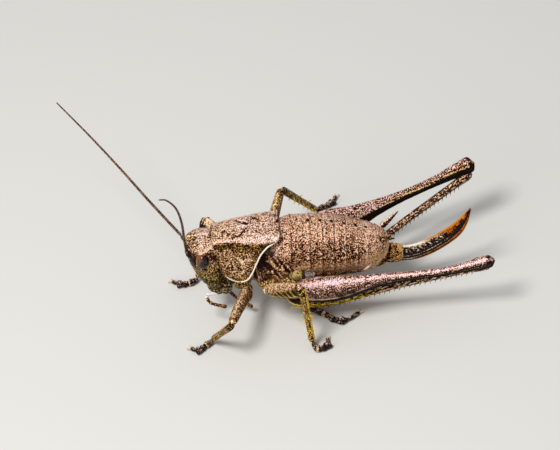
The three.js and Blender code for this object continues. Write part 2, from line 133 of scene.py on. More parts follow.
# Matt paint, rolled on: an even, chalky ground that takes soft shadows and mirrors next to nothing.
floor_shader = floor_paint.node_tree.nodes["Principled BSDF"]
floor_shader.inputs["Base Color"].default_value = linear(FLOOR_COLOUR)
floor_shader.inputs["Roughness"].default_value = 0.8
floor_shader.inputs["Specular IOR Level"].default_value = 0.2
floor.data.materials.append(floor_paint)
for lamp_name, place, size, power in LAMPS:
    lamp = bpy.data.lights.new(lamp_name, "AREA")
    lamp.shape = "DISK"
    lamp.size = size * MM
    lamp.energy = power
    lamp_object = bpy.data.objects.new(lamp_name, lamp)
    bpy.context.scene.collection.objects.link(lamp_object)
    lamp_object.location = Vector(place) * MM
    lamp_object.rotation_euler = Vector(place).to_track_quat("Z", "Y").to_euler()
room = bpy.data.worlds.new("room")
room.use_nodes = True
room.node_tree.nodes["Background"].inputs["Color"].default_value = linear(ROOM_COLOUR)
room.node_tree.nodes["Background"].inputs["Strength"].default_value = ROOM_LIGHT
bpy.context.scene.world = room
bpy.context.scene.view_settings.view_transform = "Standard"

# ---- Abdomen ----
# Eight horny back plates, each lapping over the next, with a soft fold along the flank and narrow
# belly plates under it. One skin of chitin: pinkish tan above, darker and golden low on the flank.
# Sections from front to rear: place, half width, and the levels of the top, widest line and bottom.
ABDOMEN = (
    (-1.7, 2.32, 2.84, -0.1, -2.75),
    (0.0, 2.38, 2.86, -0.1, -2.8),
    (2.0, 2.33, 2.6, -0.15, -2.7),
    (4.0, 2.13, 2.02, -0.25, -2.5),
    (5.2, 1.8, 1.6, -0.3, -2.2),
    (6.0, 1.35, 1.2, -0.25, -1.7),
    (6.6, 0.8, 0.75, -0.15, -1.1),
)
RING_EDGES = (-1.7, -0.1, 0.9, 1.9, 2.9, 3.9, 4.75, 5.45, 6.0, 6.6)
# Shares of a ring's length at which a loop of points is drawn, closest at its two edges.
RING_STEPS = (0, 0.03, 0.08, 0.18, 0.3, 0.42, 0.54, 0.66, 0.78, 0.88, 0.95, 0.985)
# The rounded tail's last loops, closing in.
TAIL_LOOPS = [6.62, 6.68, 6.708]
FLANK_FOLD = -1.55


def smooth_row(table, place):
    """The values of a table of sections at any place, drawn smoothly through its rows."""
    last = len(table) - 1
    place = min(max(place, table[0][0]), table[last][0])
    row = 1
    while row < last and table[row][0] < place:
        row += 1
    before, after = table[row - 1], table[row]
    ahead, behind = table[min(row + 1, last)], table[max(row - 2, 0)]
    span = after[0] - before[0]
    t = (place - before[0]) / span
    values = []
    for column in range(1, len(before)):
        start = (after[column] - behind[column]) / (after[0] - behind[0]) * span
        end = (ahead[column] - before[column]) / (ahead[0] - before[0]) * span
        a, b = before[column], after[column]
        values.append(
            a * (1 + 2 * t) * (1 - t) ** 2 + b * t * t * (3 - 2 * t)
            + start * t * (1 - t) ** 2 - end * t * t * (1 - t)
        )
    return values


def step_up(value, low, high):
    """0 below low, 1 above high, and smooth between. With low over high it falls instead."""
    share = min(max((value - low) / (high - low), 0), 1)
    return share * share * (3 - 2 * share)


def bell(distance, width):
    """1 at no distance, falling to 0 at about twice the width."""
    return math.exp(-(distance / width) ** 2)


def sleeve(shape, stations, sides, place, relief=None, paint=None):
    """Adds a closed tube drawn out from a circle, one ring for each station. `place` puts each point
    by its station and its sideways and upward shares of the ring, `relief` lifts it along the
    surface's normal, and `paint` gives its dark, pale and warm marks. Returns the shape."""
    ring = bmesh.ops.create_circle(shape, segments=sides, radius=1)["verts"]
    verts = list(ring)
    rim = list(dict.fromkeys(edge for vert in ring for edge in vert.link_edges))
    ends = [rim]
    for _ in stations[1:]:
        drawn = bmesh.ops.extrude_edge_only(shape, edges=rim)["geom"]
        rim = [part for part in drawn if isinstance(part, bmesh.types.BMEdge)]
        ring = [part for part in drawn if isinstance(part, bmesh.types.BMVert)]
        rim = [edge for edge in rim if all(vert in ring for vert in edge.verts)]
        bmesh.ops.translate(shape, verts=ring, vec=(0, 0, 1))
        verts += ring
    ends.append(rim)
    for loop in ends:
        cap = bmesh.ops.edgeloop_fill(shape, edges=loop)["faces"]
        verts += bmesh.ops.poke(shape, faces=cap)["verts"]
    lies = [(stations[round(vert.co.z)], vert.co.x, vert.co.y) for vert in verts]
    for vert, lie in zip(verts, lies):
        vert.co = place(*lie)
    faces = list(dict.fromkeys(face for vert in verts for face in vert.link_faces))
    bmesh.ops.recalc_face_normals(shape, faces=faces)
    if relief:
        for vert in verts:
            vert.normal_update()
        lifts = [vert.normal * relief(vert.co, *lie) for vert, lie in zip(verts, lies)]
        for vert, lift in zip(verts, lifts):
            vert.co += lift
    marks = shape.verts.layers.float_vector.get("marks")
    if paint:
        for vert, lie in zip(verts, lies):
            vert[marks] = paint(vert.co, *lie)
    return shape


SAMPLES = 16


def line_through(points):
    """A smooth line through points, as its length and a function that gives the place and the
    direction at a share of that length."""
    points = [Vector(point) for point in points]
    samples = []
    for i in range(len(points) - 1):
        before = points[i - 1] if i else points[0] * 2 - points[1]
        after = points[i + 2] if i + 2 < len(points) else points[-1] * 2 - points[-2]
        a, b = points[i], points[i + 1]
        for step in range(SAMPLES):
            t = step / SAMPLES
            samples.append(0.5 * (
                2 * a + (b - before) * t + (2 * before - 5 * a + 4 * b - after) * t * t
                + (3 * a - before - 3 * b + after) * t ** 3
            ))
    samples.append(points[-1])
    lengths = [0]
    for one, other in zip(samples, samples[1:]):
        lengths.append(lengths[-1] + (other - one).length)

    def at(share):
        wanted = min(max(share, 0), 1) * lengths[-1]
        i = next((n for n in range(1, len(lengths)) if lengths[n] >= wanted), len(lengths) - 1)
        step = (wanted - lengths[i - 1]) / (lengths[i] - lengths[i - 1])
        ahead = samples[min(i + 1, len(samples) - 1)] - samples[i - 1]
        behind = samples[i] - samples[max(i - 2, 0)]
        return samples[i - 1].lerp(samples[i], step), behind.lerp(ahead, step).normalized()

    return lengths[-1], at


# Where the loops of a limb's rounded end lie, in shares of its radius.
END_STEPS = (0.0, 0.03, 0.12, 0.3, 0.6)


def limb(shape, points, profile, dorsal, sides, spacing, relief=None, paint=None, floor=None):
    """Adds a tube along a smooth line with rounded ends. The profile lists share, half width and
    half height, `dorsal` is the way its upper side faces, and nothing goes under a floor."""
    length, at = line_through(points)
    dorsal = Vector(dorsal)
    steps = max(6, round(length / spacing))
    tips = [end * min(profile[0][2], length / 4) / length for end in END_STEPS]
    tails = [1 - end * min(profile[-1][2], length / 4) / length for end in END_STEPS]
    inner = [i / steps for i in range(1, steps) if tips[-1] < i / steps < tails[-1]]
    shares = tips + inner + tails[::-1]

    def place(share, side, up):
        spot, ahead = at(share)
        upright = (dorsal - ahead * dorsal.dot(ahead)).normalized()
        half_width, half_height = smooth_row(profile, share)
        near = min(share * length / profile[0][2], (1 - share) * length / profile[-1][2], 1)
        tip = math.sqrt(max(0, 1 - (1 - near) ** 2)) if near < 1 else 1
        point = spot + (upright.cross(ahead) * side * half_width + upright * up * half_height) * tip
        if floor is not None and point.z < floor:
            point.z = floor
        return point

    return sleeve(shape, shares, sides, place, relief, paint)


def new_shape():
    """An empty mesh whose points can carry marks."""
    shape = bmesh.new()
    shape.verts.layers.float_vector.new("marks")
    return shape


def put(shape, name, material, into=TRUNK, nodes=None):
    """Makes a finished shape a piece of the animal, in place of the CAD node of its own name or of
    the nodes given."""
    bmesh.ops.transform(shape, matrix=into, verts=shape.verts)
    bmesh.ops.recalc_face_normals(shape, faces=shape.faces)
    mesh = bpy.data.meshes.new(f"{name}_surface")
    shape.to_mesh(mesh)
    shape.free()
    mesh.polygons.foreach_set("use_smooth", [True] * len(mesh.polygons))
    mesh.materials.append(material)
    piece = bpy.data.objects.new(f"{name}_surface", mesh)
    bpy.context.scene.collection.objects.link(piece)
    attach(piece, "root")
    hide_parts(*([name] if nodes is None else nodes))


PER_MM = (1 / MM, 1 / MM, 1 / MM)
# The noise levels at which a cuticle turns from fleck to ground, to dot and to painted sheen, its highlight
# colour.
SPECKLE_STEPS = (0.45, 0.495, 0.55, 0.64)


def cuticle(name, plain, warm, speck=0.09, strewn=1.25, roughness=0.42):
    """Insect cuticle, a horny shell of chitin grown in place, waxy and grainy. It shows a broad, dull
    sheen on a tan ground that is closely sprinkled with brown flecks and cream dots, `speck`
    millimetres across. `plain` and `warm` hold the colours of its flecks, ground, dots and painted
    sheen, the last a painted highlight colour. A piece's dark and pale marks make the flecks or the
    dots crowd together until they join, strong pale marks reach the painted sheen, and its warm marks
    lead from the plain colours to the warm ones. With less strewn than 1 the flecks and dots stand
    out less. Its pits are 0.02 mm across and are drawn at the size of the dots to show."""
    material = bpy.data.materials.new(name)
    material.use_nodes = True
    tree = material.node_tree
    shader = tree.nodes["Principled BSDF"]
    place = add(tree, "TexCoord")
    spot = add(tree, "Mapping", {"Vector": place.outputs["Object"], "Scale": PER_MM})
    in_mm = spot.outputs["Vector"]
    carried = add(tree, "Attribute", attribute_name="marks")
    marks = add(tree, "SeparateXYZ", {"Vector": carried.outputs["Vector"]})
    grain = add(tree, "TexNoise", {
        "Vector": in_mm, "Scale": 1 / speck, "Detail": 1.0, "Distortion": 0.3,
    })
    patches = add(tree, "TexNoise", {"Vector": in_mm, "Scale": 0.25 / speck, "Detail": 2.0})
    pits = add(tree, "TexVoronoi", {"Vector": in_mm, "Scale": 0.8 / speck})
    lean = add(tree, "Math", {
        0: marks.outputs["Y"], 1: marks.outputs["X"],
    }, operation="SUBTRACT")
    flecks = add(tree, "Math", {
        0: grain.outputs["Fac"], 1: strewn, 2: 0.5 - 0.5 * strewn,
    }, operation="MULTIPLY_ADD")
    leaning = add(tree, "Math", {
        0: lean.outputs[0], 1: 0.24, 2: flecks.outputs[0],
    }, operation="MULTIPLY_ADD")
    uneven = add(tree, "Math", {
        0: patches.outputs["Fac"], 1: 0.3, 2: -0.15,
    }, operation="MULTIPLY_ADD")
    level = add(tree, "Math", {0: leaning.outputs[0], 1: uneven.outputs[0]})
    tints = []
    for colours in (plain, warm):
        tint = add(tree, "ValToRGB", {"Fac": level.outputs[0]})
        stops = tint.color_ramp.elements
        stops.new(0.5)
        stops.new(0.6)
        for stop, position, colour in zip(stops, SPECKLE_STEPS, colours):
            stop.position = position
            stop.color = linear(colour)
        tints.append(tint.outputs["Color"])
    warmth = add(tree, "Math", {
        0: patches.outputs["Fac"], 1: 0.6, 2: marks.outputs["Z"],
    }, operation="MULTIPLY_ADD")
    share = add(tree, "MapRange", {
        "Value": warmth.outputs[0], "From Min": 0.35, "From Max": 1.15,
    })
    colour = add(tree, "Mix", {
        "Factor": share.outputs["Result"], 6: tints[0], 7: tints[1],
    }, data_type="RGBA")
    tree.links.new(colour.outputs[2], shader.inputs["Base Color"])
    rough = add(tree, "MapRange", {
        "Value": grain.outputs["Fac"], "To Min": roughness - 0.12, "To Max": roughness + 0.14,
    })
    tree.links.new(rough.outputs["Result"], shader.inputs["Roughness"])
    height = add(tree, "Math", {0: pits.outputs["Distance"], 1: grain.outputs["Fac"]})
    bump = add(tree, "Bump", {
        "Height": height.outputs[0], "Strength": 0.5, "Distance": 0.06 * MM,
    })
    tree.links.new(bump.outputs["Normal"], shader.inputs["Normal"])
    shader.inputs["Specular IOR Level"].default_value = 0.1
    return material


def abdomen_place(x, side, up):
    half_width, top, middle, bottom = smooth_row(ABDOMEN, x)
    tip = math.sqrt(max(0, 1 - max(0, (x - 6.35) / 0.36) ** 2))
    rise = (top - middle if up > 0 else middle - bottom) * tip
    return Vector((x, side * half_width * tip, middle + up * rise))


def ring_share(x):
    """How far a place lies along its own ring, that ring's number and its length."""
    number = 0
    while number < len(RING_EDGES) - 2 and RING_EDGES[number + 1] <= x + 1e-6:
        number += 1
    length = RING_EDGES[number + 1] - RING_EDGES[number]
    return (x - RING_EDGES[number]) / length, number, length


def abdomen_relief(point, x, side, up):
    share, _, _ = ring_share(x)
    lap = 0.05 * share ** 1.5 - 0.05 * step_up(share, 0.1, 0.0)
    plate = step_up(point.z, FLANK_FOLD - 0.1, FLANK_FOLD + 0.1)
    belly = step_up(point.z, FLANK_FOLD - 0.35, FLANK_FOLD - 0.7)
    fold = -0.16 * bell(point.z - FLANK_FOLD + 0.22, 0.2) + 0.03 * plate
    crest = 0.035 * bell(point.y, 0.12) * step_up(up, 0.5, 0.9)
    return lap * max(plate, 0.6 * belly) + fold + crest + 0.012 * noise.noise(point * 2.2)


def abdomen_paint(point, x, side, up):
    share, number, length = ring_share(x)
    seam = 0.5 * step_up(share, 0.09, 0.0)
    dot = 4.5 * bell(math.hypot(point.y, (share - 0.93) * length), 0.1)
    dot *= step_up(up, 0, 0.5) * step_up(x, 5.5, 5.0)
    muscle = bell(math.hypot((share - 0.55) * 1.3, (point.z - 1.55) / 1.3), 0.3)
    bead = bell(share - 0.86, 0.1) * (0.5 + 0.5 * math.sin(point.z * 13 + number)) ** 3
    bead *= step_up(point.z, 1.3, 0.9) * step_up(point.z, -1.6, -1.0)
    low = step_up(point.z, 0.3, -0.5)
    flank = 0.12 * step_up(point.z, 2.3, 1.7) + 0.3 * step_up(point.z, 1.6, 0.9) - 0.3 * low
    shadow = 0.6 * bell(point.z - FLANK_FOLD + 0.2, 0.22)
    pale = 0.1 * step_up(point.z, 1.1, 1.9) + 0.25 * bell(share - 0.9, 0.05) + 1.2 * bead
    pale += 0.5 * step_up(x, 3.8, 4.8) + 0.25 * low
    warm = 0.4 * step_up(point.z, 0.9, -0.3) + 0.15 * step_up(x, 4.4, 5.4)
    return Vector((seam + dot + flank + shadow + 0.4 * muscle, pale, warm - 0.4 * muscle))


abdomen_stations = [
    front + (rear - front) * share
    for front, rear in zip(RING_EDGES, RING_EDGES[1:])
    for share in RING_STEPS
] + TAIL_LOOPS
# Thin horny plates with muscle showing through as duller patches: tan above, warmer and darker below.
abdomen_skin = cuticle(
    "abdominal cuticle", plain=("#160200", "#a2542a", "#fab472", "#ffdcc8"),
    warm=("#140400", "#904a16", "#e4963c", "#f8c878"),
)
shape = new_shape()
sleeve(shape, abdomen_stations, 112, abdomen_place, abdomen_relief, abdomen_paint)
# A short cream welt closes each flank's fold before the last rings.
WELT_PROFILE = ((0, 0.06, 0.06), (0.5, 0.11, 0.11), (1, 0.06, 0.06))
for outward in (-1, 1):
    welt = [(4.4, outward * 1.78, -1.55), (4.7, outward * 1.82, -1.2), (5.0, outward * 1.77, -0.85)]
    limb(shape, welt, WELT_PROFILE, (0, 0, 1), 10, 0.08, paint=lambda *_: Vector((0, 3, 0)))
rings = [f"abdomen_ring_{number}" for number in range(1, 9)]
put(shape, "abdomen", abdomen_skin, nodes=rings + ["abdomen_tip"])

# ---- Thorax ----
# The flanks under the saddle plate: upright folded plates of soft brown cuticle over the leg roots,
# in deep shade behind the plate's rim, and the neck in front. They are darker low down, with painted
# shade in their folds and in the cleft under the plate's front. One skin with the waist.
THORAX = (
    (-7.5, 0.95, 1.1, -0.6, -2.3),
    (-6.6, 1.5, 1.6, -0.8, -2.75),
    (-5.2, 1.75, 1.8, -0.9, -3.0),
    (-3.6, 1.98, 2.15, -0.7, -2.95),
    (-2.4, 2.2, 2.6, -0.4, -2.85),
    (-1.55, 2.27, 2.76, -0.2, -2.76),
)
THORAX_LENGTH = 5.95
THORAX_LOOPS = 70
# Its folds in side view, and where the legs' roots push it out.
THORAX_FOLDS = (
    ((-6.2, 0.2), (-5.5, -2.2)), ((-5.0, 0.6), (-4.6, -2.0)), ((-4.5, 0.9), (-3.4, -0.9)),
    ((-3.9, 1.0), (-2.6, -0.4)), ((-3.6, -0.2), (-2.4, -1.9)), ((-2.9, 0.5), (-1.7, -1.2)),
)
COXA_PLACES = (-5.7, -4.1, -2.5)


def reach(point, *line):
    """Distance from a point to a line of straight stretches, flat or in the round."""
    nearest = math.inf
    for start, end in zip(line, line[1:]):
        start, along = Vector(start), Vector(end) - Vector(start)
        share = min(max((point - start).dot(along) / along.length_squared, 0), 1)
        nearest = min(nearest, (point - start - along * share).length)
    return nearest


def thorax_place(x, side, up):
    half_width, top, middle, bottom = smooth_row(THORAX, x)
    rise = top - middle if up > 0 else middle - bottom
    return Vector((x, side * half_width, middle + up * rise))


def thorax_relief(point, x, side, up):
    folds = sum(bell(reach(point.xz, *fold), 0.16) for fold in THORAX_FOLDS)
    swell = noise.noise(Vector((point.x * 1.1, point.y * 0.5, point.z * 0.9)))
    bases = sum(bell(point.x - place, 0.6) for place in COXA_PLACES) * step_up(up, 0.1, -0.6)
    return (-0.13 * folds + 0.12 * swell + 0.55 * bases) * step_up(abs(side), 0.2, 0.6)


def thorax_paint(point, x, side, up):
    folds = sum(bell(reach(point.xz, *fold), 0.1) for fold in THORAX_FOLDS)
    ridges = sum(bell(reach(point.xz, *fold) - 0.24, 0.07) for fold in THORAX_FOLDS)
    cleft = step_up(point.x, -3.2, -4.2) * step_up(point.z, -1.2, -0.2)
    low = step_up(point.z, 0.9, -0.2)
    olive = step_up(point.x, -3.2, -2.2) * step_up(point.z, -1.2, -1.7)
    # Painted shade: the folds and the cleft under the saddle plate's front are darkened.
    dark = (0.6 + 0.9 * folds) * low + 1.2 * cleft - 0.3 * olive
    return Vector((dark, (0.8 * ridges + 0.3 * olive) * low, 0.25 * low + 0.4 * olive))


thorax_stations = [THORAX[0][0] + THORAX_LENGTH * i / THORAX_LOOPS for i in range(THORAX_LOOPS + 1)]
shape = new_shape()
sleeve(shape, thorax_stations, 96, thorax_place, thorax_relief, thorax_paint)
put(shape, "thorax", abdomen_skin)

# ---- Pronotum ----
# The saddle: one thin horny plate over the back with a lobe down each flank. Its shoulders carry a
# painted highlight, the bands under them are dark gold, and furrows mark where muscles hold it inside.
# Sections by place: the level of the crest, and the half widths of the back, waist and lobes.
SADDLE = (
    (-8.5, 1.8, 1.22, 1.58, 1.85),
    (-7.5, 2.05, 1.34, 1.72, 2.1),
    (-6.5, 2.28, 1.42, 1.8, 2.3),
    (-5.5, 2.45, 1.5, 1.9, 2.4),
    (-4.5, 2.6, 1.6, 2.0, 2.4),
    (-3.5, 2.7, 1.68, 2.08, 2.35),
    (-2.5, 2.78, 1.72, 2.12, 2.3),
)
LOBE_FOOT = -1.78
# The plate's front and rear edges in side view, by the square root of the height over the lobe's
# foot, so that both come round it smoothly.
FRONT_EDGE = ((0, -5.95), (0.53, -6.75), (0.94, -7.4), (1.41, -7.68), (1.73, -8.05), (1.95, -8.28))
REAR_EDGE = (
    (0, -5.95), (0.57, -5.3), (0.99, -4.95), (1.41, -4.55), (1.7, -4.15), (1.87, -3.6),
    (1.97, -3.0), (2.1, -2.68), (2.25, -2.6),
)
SADDLE_THICKNESS = 0.16
# The back's furrows in plan, the flank's in side view, and two dark spots in plan.
FURROWS = (
    ((-6.15, 0.75), (-5.15, 0.08)), ((-5.9, -1.0), (-5.15, -0.08)), ((-6.7, -1.1), (-5.9, -1.0)),
)
SIDE_FURROW = ((-6.4, 0.7), (-5.7, -1.1))
SADDLE_SPOTS = ((-7.24, -0.34), (-6.84, -0.8))


def saddle_profile(x, share):
    """Half width and level of the plate at a share of the way from its crest to the lobe's foot."""
    crest, disc, waist, lobe = smooth_row(SADDLE, x)
    half = (
        (0, 0, crest), (0.16, disc * 0.58, crest - 0.06), (0.3, disc * 0.97, crest - 0.36),
        (0.4, disc + 0.12, crest - 0.85), (0.5, waist, crest - 1.45), (0.72, lobe - 0.06, -0.7),
        (0.86, lobe, -1.35), (1, lobe - 0.02, LOBE_FOOT),
    )
    return smooth_row(half, share)


def saddle_edge(edge, share, guess):
    """Where a row of the plate, at that share of the way down, meets one of its edges."""
    for _ in range(4):
        height = saddle_profile(guess, share)[1] - LOBE_FOOT
        guess = smooth_row(edge, math.sqrt(max(height, 0)))[0]
    return guess


def saddle_point(along, across):
    """A point of the plate: along from its front edge to its rear, across from lobe to lobe."""
    share = 1 - (1 - abs(across)) ** 1.7
    x = saddle_edge(FRONT_EDGE, share, -8) * (1 - along) + saddle_edge(REAR_EDGE, share, -3) * along
    half_width, level = saddle_profile(x, share)
    return Vector((x, math.copysign(half_width, across), level))


def saddle_relief(point, along, across):
    disc = step_up(abs(across), 0.3, 0.18)
    furrows = sum(bell(reach(point.xy, *furrow), 0.09) for furrow in FURROWS) * disc
    side_furrow = bell(reach(point.xz, *SIDE_FURROW), 0.14) * (1 - disc)
    roll = 0.05 * bell(min(along, 1 - along) * 5.5, 0.18)
    grain = 0.012 * noise.noise(point * 2.4)
    shoulder = 0.05 * bell(abs(across) - 0.2, 0.05)
    return roll + grain - 0.05 * furrows - 0.06 * side_furrow + shoulder


def saddle_paint(point, along, across):
    drop = smooth_row(SADDLE, point.x)[0] - point.z
    drop += 0.55 * step_up(point.x, -5.0, -7.2) * step_up(drop, 0.1, 0.45)
    # Painted highlight along each shoulder, below the crest.
    shoulder = bell(drop - 0.42, 0.22)
    band = bell(drop - 1.05, 0.32)
    side = step_up(drop, 0.66, 0.82)
    back = 1 - side
    furrows = sum(bell(reach(point.xy, *furrow), 0.07) for furrow in FURROWS)
    midline = bell(point.y, 0.05) * step_up(point.x, -7.6, -7.3) * step_up(point.x, -5.0, -5.2)
    edge_dot = bell(math.hypot(point.x + 2.72, point.y - 0.05), 0.14)
    spots = sum(bell((point.xy - Vector(spot)).length, 0.13) for spot in SADDLE_SPOTS)
    arcs = bell(math.hypot(point.x + 6.3, point.z + 0.2) - 0.75, 0.07) * step_up(point.x, -6.3, -6.0)
    arcs += bell(math.hypot(point.x + 5.2, point.z + 0.1) - 0.6, 0.07) * step_up(point.z, -0.3, 0.1)
    dark = 0.3 * band + 1.2 * furrows * step_up(drop, 0.5, 0.3) + 2.5 * edge_dot + 1.3 * spots
    dark += side * (0.15 + 0.3 * step_up(along, 0.7, 1) + 0.12 * step_up(point.z, -1.3, -0.5))
    dark += 0.12 * back * step_up(point.x, -5.5, -4.5)
    # The pale marks: the painted shoulder highlight, the pale midline and the lobes' pale arcs.
    pale = 0.5 * shoulder + 0.6 * midline + 0.8 * arcs * side
    pale += 0.06 * step_up(point.x, -5.5, -3.5) * back
    warm = 0.7 * band + 0.4 * side + 0.35 * step_up(point.z, -0.6, -1.4)
    warm += 0.25 * step_up(point.x, -5.5, -7.5) * back
    return Vector((dark, pale, warm))


# The thickest and grainiest cuticle: rosy cream in its painted sheen, tan between, dark gold on its bands.
saddle_skin = cuticle(
    "pronotum cuticle", plain=("#240600", "#b86a32", "#ffcc8c", "#ffe2e0"),
    warm=("#160600", "#804e08", "#d09024", "#ecc474"),
)
shape = new_shape()
bmesh.ops.create_grid(shape, x_segments=72, y_segments=150, size=1)
marks = shape.verts.layers.float_vector["marks"]
lies = [((vert.co.x + 1) / 2, vert.co.y) for vert in shape.verts]
for vert, lie in zip(shape.verts, lies):
    vert.co = saddle_point(*lie)
shape.normal_update()
outward = 1 if max(shape.verts, key=lambda vert: vert.co.z).normal.z > 0 else -1
lifts = [vert.normal * outward * saddle_relief(vert.co, *lie) for vert, lie in zip(shape.verts, lies)]
for vert, lie, lift in zip(shape.verts, lies, lifts):
    vert[marks] = saddle_paint(vert.co, *lie)
    vert.co += lift
bmesh.ops.remove_doubles(shape, verts=shape.verts, dist=0.002)
bmesh.ops.recalc_face_normals(shape, faces=shape.faces)
if max(shape.verts, key=lambda vert: vert.co.z).normal.z < 0:
    bmesh.ops.reverse_faces(shape, faces=shape.faces)
bmesh.ops.solidify(shape, geom=shape.faces[:], thickness=SADDLE_THICKNESS)
put(shape, "pronotum", saddle_skin)

# The plate's rim is a rolled edge of smooth cream chitin, glossier than the plate's grain: thick
# round the lobes and fine over the back.
RIM_RADII = {"rear": 0.072, "front": 0.054}
RIM_NARROWS = 0.05
RIM_STEPS = 64
saddle_rim = cuticle(
    "cream rim cuticle", plain=("#7d5638", "#d2b482", "#f8e8c0", "#fff4dc"),
    warm=("#5c3c20", "#a87c50", "#e0bd8c", "#f4e0c0"), roughness=0.35,
)


def rim_paint(point, share, side, up):
    bright = step_up(point.z, 2.78, 2.6) if edge_name == "rear" else step_up(point.z, -0.9, -1.5)
    return Vector((0.9 * (1 - bright), 1.2 * bright, 0.8 * (1 - bright)))


for edge_name, radius in RIM_RADII.items():
    along = 1 if edge_name == "rear" else 0
    edge_line = [saddle_point(along, -0.995 + 1.99 * i / RIM_STEPS) for i in range(RIM_STEPS + 1)]
    thick, thin = (radius, radius), (RIM_NARROWS, RIM_NARROWS)
    rim_profile = ((0, *thick), (0.4, *thick), (0.45, *thin), (0.55, *thin), (0.6, *thick), (1, *thick))
    rim = limb(new_shape(), edge_line, rim_profile, (0, 0, 1), 10, 0.1, paint=rim_paint)
    put(rim, f"pronotum_{edge_name}_rim", saddle_rim, nodes=[])

# ---- Head ----
# A tall rounded capsule of hard cuticle, flat in front, with the feelers' sockets and the eyes set
# into its upper corners, a groove under each eye and a seam across above the lip.
# Sections from the mouth to the crown: level, front, rear and half width.
HEAD = (
    (-4.05, -8.5, -7.15, 0.95),
    (-3.4, -8.95, -6.85, 1.32),
    (-2.6, -9.45, -6.8, 1.58),
    (-1.6, -9.95, -6.75, 1.68),
    (-0.6, -10.27, -6.8, 1.68),
    (0.3, -10.4, -6.95, 1.62),
    (1.05, -10.52, -7.2, 1.32),
    (1.42, -10.3, -7.5, 0.98),
    (1.66, -9.7, -7.9, 0.6),
)
HEAD_HEIGHT = 5.5
HEAD_LOOPS = 84
CROWN_LOOPS = [1.5, 1.55, 1.6, 1.64, 1.67, 1.685]
# Places on its left or right half: the eye and socket, seams, the pale stripe and the dark patches.
EYE = Vector((-9.03, 1.57, 0))
SOCKET = Vector((-10.12, 0.68, 0.05))
EYE_GROOVE = ((-9.0, 1.6, -0.75), (-8.75, 1.5, -2.2), (-8.55, 1.3, -3.4))
CHEEK_SEAM = ((-7.75, 1.6, -0.9), (-7.6, 1.5, -2.4), (-7.55, 1.1, -3.6))
PALE_STRIPE = ((-9.1, 1.4, 0.74), (-8.75, 1.33, 1.0), (-8.3, 1.15, 1.25), (-7.9, 1.0, 1.4))
FRONT_PATCH = ((-10.1, 0.95, 0.0), (-9.75, 1.2, -0.15))
CHEEK_PATCH = ((-8.4, 1.45, 0.75), (-8.0, 1.6, 0.3))
NAPE_DOT = Vector((-8.18, 0, 1.6))


def either_side(point):
    """The point itself, or its image on the right where it lies on the left."""
    return Vector((point.x, abs(point.y), point.z))


def head_place(level, side, up):
    front, rear, half_width = smooth_row(HEAD, level)
    crown = math.sqrt(max(0, 1 - max(0, (level - 1.42) / 0.27) ** 2))
    middle, half_length = (front + rear) / 2, (rear - front) / 2
    return Vector((middle + up * half_length * crown, side * half_width * crown, level))


def head_relief(point, level, side, up):
    here = either_side(point)
    away = here - EYE
    orbit = bell(math.hypot(away.x / 0.52, away.z / 0.68, away.y / 0.9) - 1.22, 0.16)
    brow = bell(point.z - 1.25, 0.3) * step_up(up, -0.3, -0.8)
    socket = reach(here, SOCKET, SOCKET + Vector((0.2, 0, 0)))
    seam = bell(point.z + 3.05, 0.07) * step_up(up, -0.2, -0.5)
    raised = 0.09 * orbit + 0.06 * brow + (0.06 * bell(socket - 0.42, 0.1) - 0.2 * bell(socket, 0.27))
    raised += 0.012 * noise.noise(point * 2.4)
    raised -= 0.09 * bell(reach(here, *EYE_GROOVE), 0.1)
    return raised - 0.05 * seam - 0.1 * bell(reach(here, *CHEEK_SEAM), 0.12)


def head_paint(point, level, side, up):
    here = either_side(point)
    crown = step_up(point.z, 0.5, 0.85)
    below = 1 - crown
    front = step_up(point.x, -9.2, -9.9)
    face = below * (1 - step_up(point.z, -0.6, 0.2))
    patch = bell(reach(here, *FRONT_PATCH), 0.44)
    stripe = bell(reach(here, *PALE_STRIPE), 0.085)
    midline = bell(point.y, 0.06) * step_up(point.x, -8.1, -8.3) * crown
    ribs = math.sin(9 * (point.z + 0.5 * point.x)) * step_up(point.x, -9.2, -9.6) * below
    dark = 1.8 * patch + 0.35 * step_up(up, -0.4, -0.75) * below
    dark += 0.9 * bell(reach(here, *CHEEK_PATCH), 0.3) + 0.4 * step_up(point.z, -2.9, -3.7)
    dark += 2 * bell((point - NAPE_DOT).length, 0.2)
    dark += 0.4 * bell(reach(here, *EYE_GROOVE), 0.1) + 0.5 * bell(reach(here, *CHEEK_SEAM), 0.15)
    dark += 0.2 * below + 0.2 * face * step_up(point.z, -1.0, -2.4) - 0.35 * ribs + 0.1 * front * crown
    pale = 1.5 * stripe + 0.6 * midline + 0.1 * step_up(point.x, -9.5, -9.0) * crown
    pale -= 0.1 * front * crown
    warm = 0.6 * face * step_up(point.z, -1.2, -2.2) + 0.3 * patch + 0.55 * face + 0.6 * stripe
    warm += 0.3 * front * step_up(point.z, 0.2, 0.6)
    return Vector((dark, pale, warm))


# Hard, evenly rounded cuticle: rosy tan on the crown, mottled brown and olive gold on the face.
head_skin = cuticle(
    "head cuticle", plain=("#240600", "#c06a30", "#ffc484", "#ffe4dc"),
    warm=("#0c0400", "#6c4600", "#c89808", "#f0dc80"),
)
levels = [HEAD[0][0] + HEAD_HEIGHT * i / HEAD_LOOPS for i in range(HEAD_LOOPS + 1)] + CROWN_LOOPS
shape = new_shape()
sleeve(shape, levels, 104, head_place, head_relief, head_paint)
put(shape, "head", head_skin)

# ---- Eyes ----
# Egg-shaped domes of thousands of clear lenses grown over brown pigment: amber above and in front,
# nearly black behind and below, where painted shade deepens the pigment, under a hard wet-looking gloss.
EYE_SIZE = Vector((0.55, 0.5, 0.72))
# The lenses are 0.02 mm across, too fine to show, so there are 14 to a millimetre.
LENSES = 14
PIGMENT = ((0.4, "#8a4c20"), (0.7, "#34140c"), (0.9, "#030101"))
